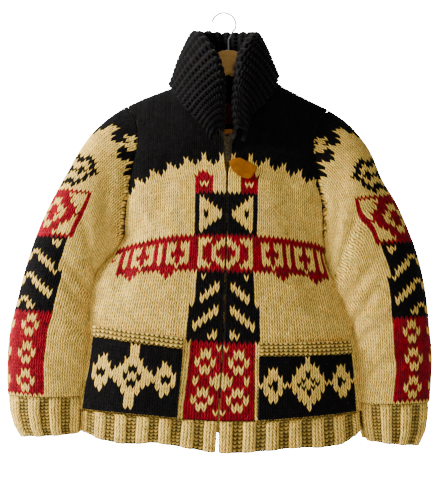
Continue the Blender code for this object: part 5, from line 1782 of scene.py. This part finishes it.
@dataclass
class KnittedSweater:
    """The knitted cloth: fronts, back, sleeves, ribs, collar and pockets."""

    wardrobe: Wardrobe
    form: SweaterForm = field(default_factory=SweaterForm)
    charts: Charts = field(default_factory=Charts)
    shades: YarnShades = field(default_factory=YarnShades)
    back_split: int = 50
    front_ribs: int = 7
    back_ribs: int = 14
    cuff_ribs: int = 9
    wales_in_rib: int = 4
    smooth_wales: int = 2
    made: int = 0

    def finish(
        self, piece: KnittedPiece, node: str
    ) -> bpy.types.Object:
        """Knit a piece, dress it, hide the solid it replaces and log its cut.

        Args:
            piece: The piece to knit.
            node: The solid that it replaces.

        Returns:
            The object.
        """
        self.made += 1
        thing = piece.build(self.shades, SEED + self.made)
        thing.data.materials.append(self.wardrobe.wool)
        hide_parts(node)
        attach(thing, "sweater")
        low = -np.inf if piece.rows_from is None else piece.rows_from
        high = np.inf if piece.rows_to is None else piece.rows_to
        width, length, area = piece.cloth.cut(low, high)
        LOG.info("%s: cut %.0f x %.0f mm, %.4f square metres", thing.name, 1e3 * width, 1e3 * length, area)
        return thing

    def rib_kinds(self, wale: np.ndarray, course: np.ndarray) -> np.ndarray:
        """Return the kind of each stitch of a rib: 2 smooth wales, then 2 of bumps."""
        inside = np.mod(wale, self.wales_in_rib)
        return np.where(inside < self.smooth_wales, Stitch.KNIT, Stitch.PURL) + 0 * course

    def rib_swell(self, ribs: int) -> Callable[[np.ndarray, np.ndarray], np.ndarray]:
        """Return how far the smooth wales of a rib stand out."""

        def swell(across: np.ndarray, up: np.ndarray) -> np.ndarray:
            """Return the rib's height at shares across and up."""
            phase = np.mod(across * ribs, 1)
            rise = ease(phase / 0.12) * ease((0.5 - phase) / 0.12)
            return (RIB_RAISE + 1.6) * rise * ease((1 - up) / 0.18) - 0.8

        return swell

    def garter_kinds(self, wale: np.ndarray, course: np.ndarray) -> np.ndarray:
        """Return bumps everywhere, as on ridged cloth."""
        return np.full(np.broadcast(wale, course).shape, int(Stitch.PURL))

    def build_body(self) -> tuple[Cloth, Cloth, Cloth]:
        """Knit the fronts and the back."""
        left = self.form.front(Side.LEFT)
        right = self.form.front(Side.RIGHT)
        back = self.form.back()
        for side, cloth in ((Side.LEFT, left), (Side.RIGHT, right)):
            name = "front_" + side.value
            piece = KnittedPiece("knit_" + name, cloth, self.charts.front)
            self.finish(piece, name)
        low = KnittedPiece("knit_back_lower", back, self.charts.back, rows_to=self.back_split)
        self.finish(low, "back")
        high = KnittedPiece("knit_back_upper", back, self.charts.back, rows_from=self.back_split)
        self.finish(high, "back")
        return left, right, back

    def build_hems(self, left: Cloth, right: Cloth, back: Cloth) -> None:
        """Knit the hem's ribs."""
        def side_at(name: str) -> Callable[[float], float]:
            """Return the body's side at a height."""
            return lambda z: float(smooth(BODY, "z", name, z))

        def opening_at(sign: int) -> Callable[[float], float]:
            """Return the front edge at a height."""
            return lambda z: float(
                smooth(OPENING, "z", "middle", z) + sign * straight(OPENING, "z", "half_gap", z)
            )

        plans = (
            ("hem_rib_front_left", left, True, self.front_ribs, (opening_at(-1), side_at("left"))),
            ("hem_rib_front_right", right, True, self.front_ribs, (opening_at(1), side_at("right"))),
            ("hem_rib_back", back, False, self.back_ribs, (side_at("left"), side_at("right"))),
        )
        for name, panel, front, ribs, ends in plans:
            cloth = self.form.hem(panel, front, ends)
            piece = KnittedPiece(
                "knit_" + name, cloth, self.charts.plain(Yarn.CREAM), RIB_WALL, True,
                wales=ribs * self.wales_in_rib, kinds=self.rib_kinds, swell=self.rib_swell(ribs), ribs=ribs,
            )
            self.finish(piece, name)

    def build_sleeves(self, left: Cloth, right: Cloth, back: Cloth) -> None:
        """Knit the sleeves and their cuffs."""
        for side, front in ((Side.LEFT, left), (Side.RIGHT, right)):
            cloth = self.form.sleeve(side, front, back)
            name = "sleeve_" + side.value
            self.finish(KnittedPiece("knit_" + name, cloth, self.charts.sleeve), name)
            band = self.form.cuff(side, cloth)
            name = "cuff_" + side.value
            piece = KnittedPiece(
                "knit_" + name, band, self.charts.plain(Yarn.CREAM), RIB_WALL, True,
                wales=self.cuff_ribs * self.wales_in_rib, kinds=self.rib_kinds,
                swell=self.rib_swell(self.cuff_ribs), ribs=self.cuff_ribs,
            )
            self.finish(piece, name)

    def build_pockets(self, left: Cloth, right: Cloth) -> None:
        """Knit the pockets and their bands."""
        for pocket, panel in zip(POCKETS, (left, right)):
            side = pocket.side.value
            cloth = self.form.patch(pocket, panel, band=False)
            chart = self.charts.plain(Yarn.DARK)
            piece = KnittedPiece("knit_pocket_" + side, cloth, chart, POCKET_WALL, True)
            _, wales, _, courses = piece.counts()
            piece.chart = self.charts.pocket(wales, courses)
            self.finish(piece, "pocket_" + side)
            cloth = self.form.patch(pocket, panel, band=True)
            piece = KnittedPiece(
                "knit_pocket_band_" + side, cloth, self.charts.plain(Yarn.CREAM), RIB_WALL, True,
                kinds=self.garter_kinds,
            )
            self.finish(piece, "pocket_band_" + side)


@dataclass
class FoldedCollar:
    """The thick folded collar, knitted in ridges that run across it."""

    sweater: KnittedSweater
    ridges: int = 40
    bumps: int = 26
    parts_of_ridge: int = 8
    parts_of_bump: int = 5
    ridge_raise: float = 4.6
    bump_raise: float = 1.6
    sway: float = 0.14
    # Painted shade in the troughs between the ridges and painted highlight on their crests, by depth
    painted_shade_depths: tuple[float, ...] = (-2.4, -0.6, 2.0)
    painted_shade_and_highlight: tuple[float, ...] = (0.35, 0.8, 1.25)
    roll_radius: float = 8.0
    least_roll: float = 6.0
    roll_share: float = 0.30
    roll_lift: float = 10.0
    guide_steps: int = 8

    def neckline(self, left: Cloth, right: Cloth, back: Cloth) -> tuple[np.ndarray, np.ndarray]:
        """Return the neckline's outer and inner points, from the left front end to the right."""
        armpit = BODY_ROWS * FINER_ROWS
        edges = []
        for inner in (0.0, WALL):
            runs = []
            for panel in (left, right):
                coarse = panel.points[armpit::FINER_ROWS, 0, 2]
                start = armpit + FINER_ROWS * int(np.argmax(coarse >= ZIP_TOP_Z - 6))
                runs.append((panel.points - inner * panel.normals)[start:, 0])
            span = slice(BACK_NECK_LEFT * FINER_COLUMNS, BACK_NECK_RIGHT * FINER_COLUMNS + 1)
            back_run = (back.points - inner * back.normals)[-1, span]
            edges.append(np.vstack([runs[0], back_run[1:-1], runs[1][::-1]]))
        return edges[0], edges[1]

    def folded_line(self, guide: np.ndarray, shares: np.ndarray) -> np.ndarray:
        """Return points on a smooth curve through a few guide points.

        Args:
            guide: The guide points, the middle one on top of the roll.
            shares: Where to read, the roll at a half.

        Returns:
            The points.
        """
        padded = np.vstack([2 * guide[0] - guide[1], guide, 2 * guide[-1] - guide[-2]])
        fine = []
        for start in range(len(guide) - 1):
            p0, p1, p2, p3 = padded[start:start + 4]
            for t in np.linspace(0, 1, self.guide_steps, endpoint=False):
                fine.append(0.5 * (
                    2 * p1 + (p2 - p0) * t + (2 * p0 - 5 * p1 + 4 * p2 - p3) * t**2
                    + (3 * p1 - p0 - 3 * p2 + p3) * t**3
                ))
        fine.append(guide[-1])
        line = np.array(fine)
        lengths = np.concatenate([[0], np.cumsum(np.linalg.norm(np.diff(line, axis=0), axis=1))])
        roll_at = lengths[len(guide) // 2 * self.guide_steps] / lengths[-1]
        return path_points(line, np.interp(shares, [0, 0.5, 1], [0, roll_at, 1]))

    def centre(
        self, places: np.ndarray, shares: np.ndarray, neckline: tuple
    ) -> tuple[np.ndarray, np.ndarray]:
        """Return the middle of the collar's wall and the roll's spread at each place."""
        outer_edge, inner_edge = neckline
        base_outer = path_points(outer_edge, places)
        lengths = np.concatenate([[0], np.cumsum(np.linalg.norm(np.diff(outer_edge, axis=0), axis=1))])
        lengths /= lengths[-1]
        base_inner = np.stack([np.interp(places, lengths, inner_edge[:, axis]) for axis in range(3)], -1)
        facing = unit(np.cross(base_outer - base_inner, np.gradient(base_outer, axis=0)))
        if facing[len(places) // 2, 2] < 0:
            facing = -facing
        base = (base_outer + base_inner) / 2 + SEAM_GAP * facing
        roll, edge = (
            np.stack([smooth(COLLAR, "place", f"{line}_{axis}", places) for axis in "xyz"], -1)
            for line in ("roll", "edge")
        )
        roll[:, 2] += self.roll_lift * ease(np.minimum(places, 1 - places) / 0.22)
        axis = roll - (base + edge) / 2
        spread = unit(np.cross(axis, np.gradient(roll, axis=0)))
        if np.sum(spread * (edge - base)) < 0:
            spread = -spread
        reach = np.linalg.norm(axis, axis=1, keepdims=True)
        axis = unit(axis)
        radius = np.clip(self.roll_share * reach, self.least_roll, self.roll_radius)
        rise = base + 0.5 * (roll - base) - 0.2 * radius * spread
        before = roll - radius * spread - radius * axis
        after = roll + radius * spread - radius * axis
        fall = (after + edge) / 2 + 0.5 * radius * spread
        guide = np.stack([base, rise, before, roll, after, fall, edge], 1)
        return np.stack([self.folded_line(line, shares) for line in guide]), spread

    def build(self, left: Cloth, right: Cloth, back: Cloth) -> bpy.types.Object:
        """Knit the collar on its folded form.

        Args:
            left: The left front.
            right: The right front.
            back: The back.

        Returns:
            The object.
        """
        rng = np.random.default_rng(SEED)
        places = np.linspace(0, 1, self.ridges * self.parts_of_ridge + 1)
        shares = np.linspace(0, 1, self.bumps * self.parts_of_bump + 1)
        centre, spread = self.centre(places, shares, self.neckline(left, right, back))
        normals = grid_normals(centre)
        if np.sum(normals[:, -1] * spread) < 0:
            normals = -normals
        ridge = places[:, None] * self.ridges
        bump = shares[None, :] * self.bumps
        drift = np.cumsum(rng.normal(0, 0.05, ridge.shape), axis=0)
        sway = self.sway * np.sin(2 * np.pi * (bump + 0.5 * np.floor(ridge)))
        crest = 0.5 + 0.5 * np.cos(2 * np.pi * (ridge + sway))
        knob = np.abs(np.cos(np.pi * (bump + drift + 0.5 * np.mod(np.floor(ridge), 2))))
        relief = self.ridge_raise * (crest**0.8 - 0.45) + self.bump_raise * (knob - 0.5)
        relief = relief * rng.normal(1, 0.08, relief.shape)
        shown = centre + (COLLAR_WALL / 2 + relief)[..., None] * normals
        hidden = centre - COLLAR_WALL / 2 * normals
        kept = np.ones((len(places) - 1, len(shares) - 1), bool)
        chart = np.full((self.ridges, self.bumps), int(Yarn.DARK))
        colours = self.sweater.shades.dye(chart, rng)
        colour = np.repeat(np.repeat(colours, self.parts_of_ridge, 0), self.parts_of_bump, 1)
        way = np.cross(centre[:-1, 1:] - centre[:-1, :-1], centre[1:, :-1] - centre[:-1, :-1])
        turned = bool(np.sum(way * normals[:-1, :-1]) < 0)
        # Painted shade in the troughs and painted highlight on the ridges' crests, multiplied into the
        # colour
        light = np.interp(relief, self.painted_shade_depths, self.painted_shade_and_highlight)
        wall = WallMesh(to_metres(shown), to_metres(hidden), kept, colour, light, turned)
        thing = wall.build("knit_collar")
        thing.data.materials.append(self.sweater.wardrobe.wool)
        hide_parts("collar")
        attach(thing, "sweater")
        cloth = self.sweater.form.flat_measures(centre, normals)
        width, length, area = cloth.cut()
        LOG.info("%s: cut %.0f x %.0f mm, %.4f square metres", thing.name, 1e3 * width, 1e3 * length, area)
        return thing


@dataclass
class ZipAndPull:
    """The zip behind the front edges, its slider and its leather tab."""

    wardrobe: Wardrobe
    form: SweaterForm
    tooth_pitch: float = 2.9
    tooth_height: float = 1.3
    tooth_width: float = 4.2
    tooth_depth: float = 2.2
    tooth_reach: float = 0.6
    top_z: float = -236.0
    end_z: float = -812.0
    behind: float = 2.2

    def front_inner_y(self, x: float, z: float) -> float:
        """Return the front's inner surface at a place."""
        step = 1.0
        y = self.form.front_y
        at = np.array([z])
        slope_x = (y(np.array([x + step]), at) - y(np.array([x - step]), at)) / (2 * step)
        slope_z = (y(np.array([x]), at + step) - y(np.array([x]), at - step)) / (2 * step)
        return float((y(np.array([x]), at) + WALL * np.sqrt(1 + slope_x**2 + slope_z**2))[0])

    def build_teeth(self) -> bpy.types.Object:
        """Make the zip's teeth, which meet in turn from its two sides."""
        build = bmesh.new()
        count = int((self.top_z - self.end_z) / self.tooth_pitch)
        for tooth in range(2 * count):
            sign = -1 if tooth % 2 == 0 else 1
            z = self.top_z - tooth / 2 * self.tooth_pitch
            middle = float(smooth(OPENING, "z", "middle", z))
            y = self.front_inner_y(middle, z) + self.behind
            centre = (middle + sign * (self.tooth_width / 2 - self.tooth_reach), y, z)
            made = bmesh.ops.create_cube(build, size=1)
            size = (self.tooth_width, self.tooth_depth, self.tooth_height)
            bmesh.ops.scale(build, vec=Vector(size) * 0.001, verts=made["verts"])
            bmesh.ops.translate(build, vec=Vector(to_metres(centre)), verts=made["verts"])
        bmesh.ops.bevel(build, geom=list(build.edges), offset=0.0003, segments=1, affect="EDGES")
        mesh = bpy.data.meshes.new("zip_teeth")
        build.to_mesh(mesh)
        build.free()
        mesh.shade_smooth()
        thing = bpy.data.objects.new("zip_teeth", mesh)
        bpy.context.scene.collection.objects.link(thing)
        mesh.materials.append(self.wardrobe.brass)
        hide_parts("zip_chain")
        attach(thing, "sweater")
        return thing

    def dress(self) -> None:
        """Give the zip's kept solids their finishes."""
        finishes = {
            "zip_tape_left": self.wardrobe.tape,
            "zip_tape_right": self.wardrobe.tape,
            "zip_tape_end": self.wardrobe.leather,
            "zip_slider": self.wardrobe.brass,
            "zip_bail": self.wardrobe.brass,
            "zip_pull": self.wardrobe.brass,
            "zip_leather_tab": self.wardrobe.leather,
        }
        for node, material in finishes.items():
            dress_node(node, material)


@dataclass
class Hanger:
    """The wooden hanger and its wire hook."""

    wardrobe: Wardrobe

    def dress(self) -> None:
        """Give the hanger's solids their finishes."""
        dress_node("hanger_wood", self.wardrobe.wood)
        dress_node("hanger_hook", self.wardrobe.steel)
        dress_node("neck_label", self.wardrobe.label)


def dress_node(node: str, material: bpy.types.Material) -> None:
    """Give one of the part's solids a finish.

    Args:
        node: The solid's name.
        material: The finish.
    """
    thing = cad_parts[node]
    if not thing.material_slots:
        thing.data.materials.append(material)
    for slot in thing.material_slots:
        slot.material = material


@dataclass
class Studio:
    """A plain pale floor, soft light and the photo's camera."""

    camera_x: float = -0.0073
    camera_z: float = -0.449
    distance: float = 1.7
    lens: float = 64.4
    floor_z: float = -1.05
    floor_half: float = 9.0
    world_light: float = 0.15
    world_seen: float = 40.0

    def build_floor(self) -> None:
        """Lay the floor."""
        bpy.ops.mesh.primitive_plane_add(size=2 * self.floor_half, location=(0, 0, self.floor_z))
        floor = bpy.context.object
        floor.name = "studio_floor"
        bench = NodeBench("Pale floor")
        bench.shader.inputs["Base Color"].default_value = (0.92, 0.92, 0.91, 1)
        bench.shader.inputs["Roughness"].default_value = 0.9
        bench.shader.inputs["Emission Color"].default_value = (1.0, 1.0, 1.0, 1)
        seen = bench.add("ShaderNodeLightPath")
        glow = bench.add("ShaderNodeMapRange", To_Min=0.0, To_Max=self.world_seen)
        bench.join(seen.outputs["Is Camera Ray"], glow.inputs["Value"])
        bench.join(glow.outputs["Result"], bench.shader.inputs["Emission Strength"])
        floor.data.materials.append(bench.material)

    def add_lamp(
        self, name: str, place: tuple[float, float, float], size: float, power: float, warmth: tuple
    ) -> None:
        """Hang a soft square lamp that faces the sweater.

        Args:
            name: The lamp's name.
            place: Where it hangs.
            size: Its side.
            power: Its power in watts.
            warmth: Its colour.
        """
        data = bpy.data.lights.new(name, "AREA")
        data.shape = "SQUARE"
        data.size = size
        data.energy = power
        data.color = warmth
        lamp = bpy.data.objects.new(name, data)
        lamp.location = place
        aim = Vector((0, 0, -0.45)) - Vector(place)
        lamp.rotation_euler = aim.to_track_quat("-Z", "Y").to_euler()
        bpy.context.scene.collection.objects.link(lamp)

    def build_light(self) -> None:
        """Light the sweater as the photo does, softly from the upper left."""
        world = bpy.data.worlds.new("Pale surroundings")
        world.use_nodes = True
        tree = world.node_tree
        surroundings = tree.nodes["Background"]
        surroundings.inputs["Color"].default_value = (1.0, 1.0, 1.0, 1)
        seen = tree.nodes.new("ShaderNodeLightPath")
        strength = tree.nodes.new("ShaderNodeMapRange")
        strength.inputs["To Min"].default_value = self.world_light
        strength.inputs["To Max"].default_value = self.world_seen
        tree.links.new(seen.outputs["Is Camera Ray"], strength.inputs["Value"])
        tree.links.new(strength.outputs["Result"], surroundings.inputs["Strength"])
        bpy.context.scene.world = world
        self.add_lamp("Window", (-2.2, -0.62, 0.62), 0.6, 225.0, (1.0, 0.98, 0.94))
        self.add_lamp("Fill", (0.5, -2.1, 0.95), 0.4, 12.0, (1.0, 0.98, 0.96))
        self.add_lamp("Back", (0.6, 2.0, 1.0), 1.6, 45.0, (1.0, 0.98, 0.96))

    def build_camera(self) -> None:
        """Set the camera at the photo's height, in front of the sweater."""
        data = bpy.data.cameras.new("Photo view")
        data.lens = self.lens
        data.sensor_width = 36.0
        camera = bpy.data.objects.new("Photo view", data)
        camera.location = (self.camera_x, -self.distance, self.camera_z)
        camera.rotation_euler = (np.pi / 2, 0, 0)
        bpy.context.scene.collection.objects.link(camera)
        bpy.context.scene.camera = camera

    def build(self) -> None:
        """Build the floor, the light and the camera."""
        self.build_floor()
        self.build_light()
        self.build_camera()


def main() -> None:
    """Build the studio and every part of the sweater, in order."""
    logging.basicConfig(level=logging.INFO, format="%(name)s: %(message)s")
    Studio().build()
    LOG.info("studio built")
    wardrobe = Wardrobe()
    sweater = KnittedSweater(wardrobe)
    left, right, back = sweater.build_body()
    LOG.info("body knitted")
    sweater.build_hems(left, right, back)
    LOG.info("hem ribs knitted")
    sweater.build_sleeves(left, right, back)
    LOG.info("sleeves and cuffs knitted")
    sweater.build_pockets(left, right)
    LOG.info("pockets knitted")
    FoldedCollar(sweater).build(left, right, back)
    LOG.info("collar knitted")
    zipper = ZipAndPull(wardrobe, sweater.form)
    zipper.build_teeth()
    zipper.dress()
    LOG.info("zip built")
    Hanger(wardrobe).dress()
    LOG.info("hanger dressed")


if __name__ == "__main__":
    main()
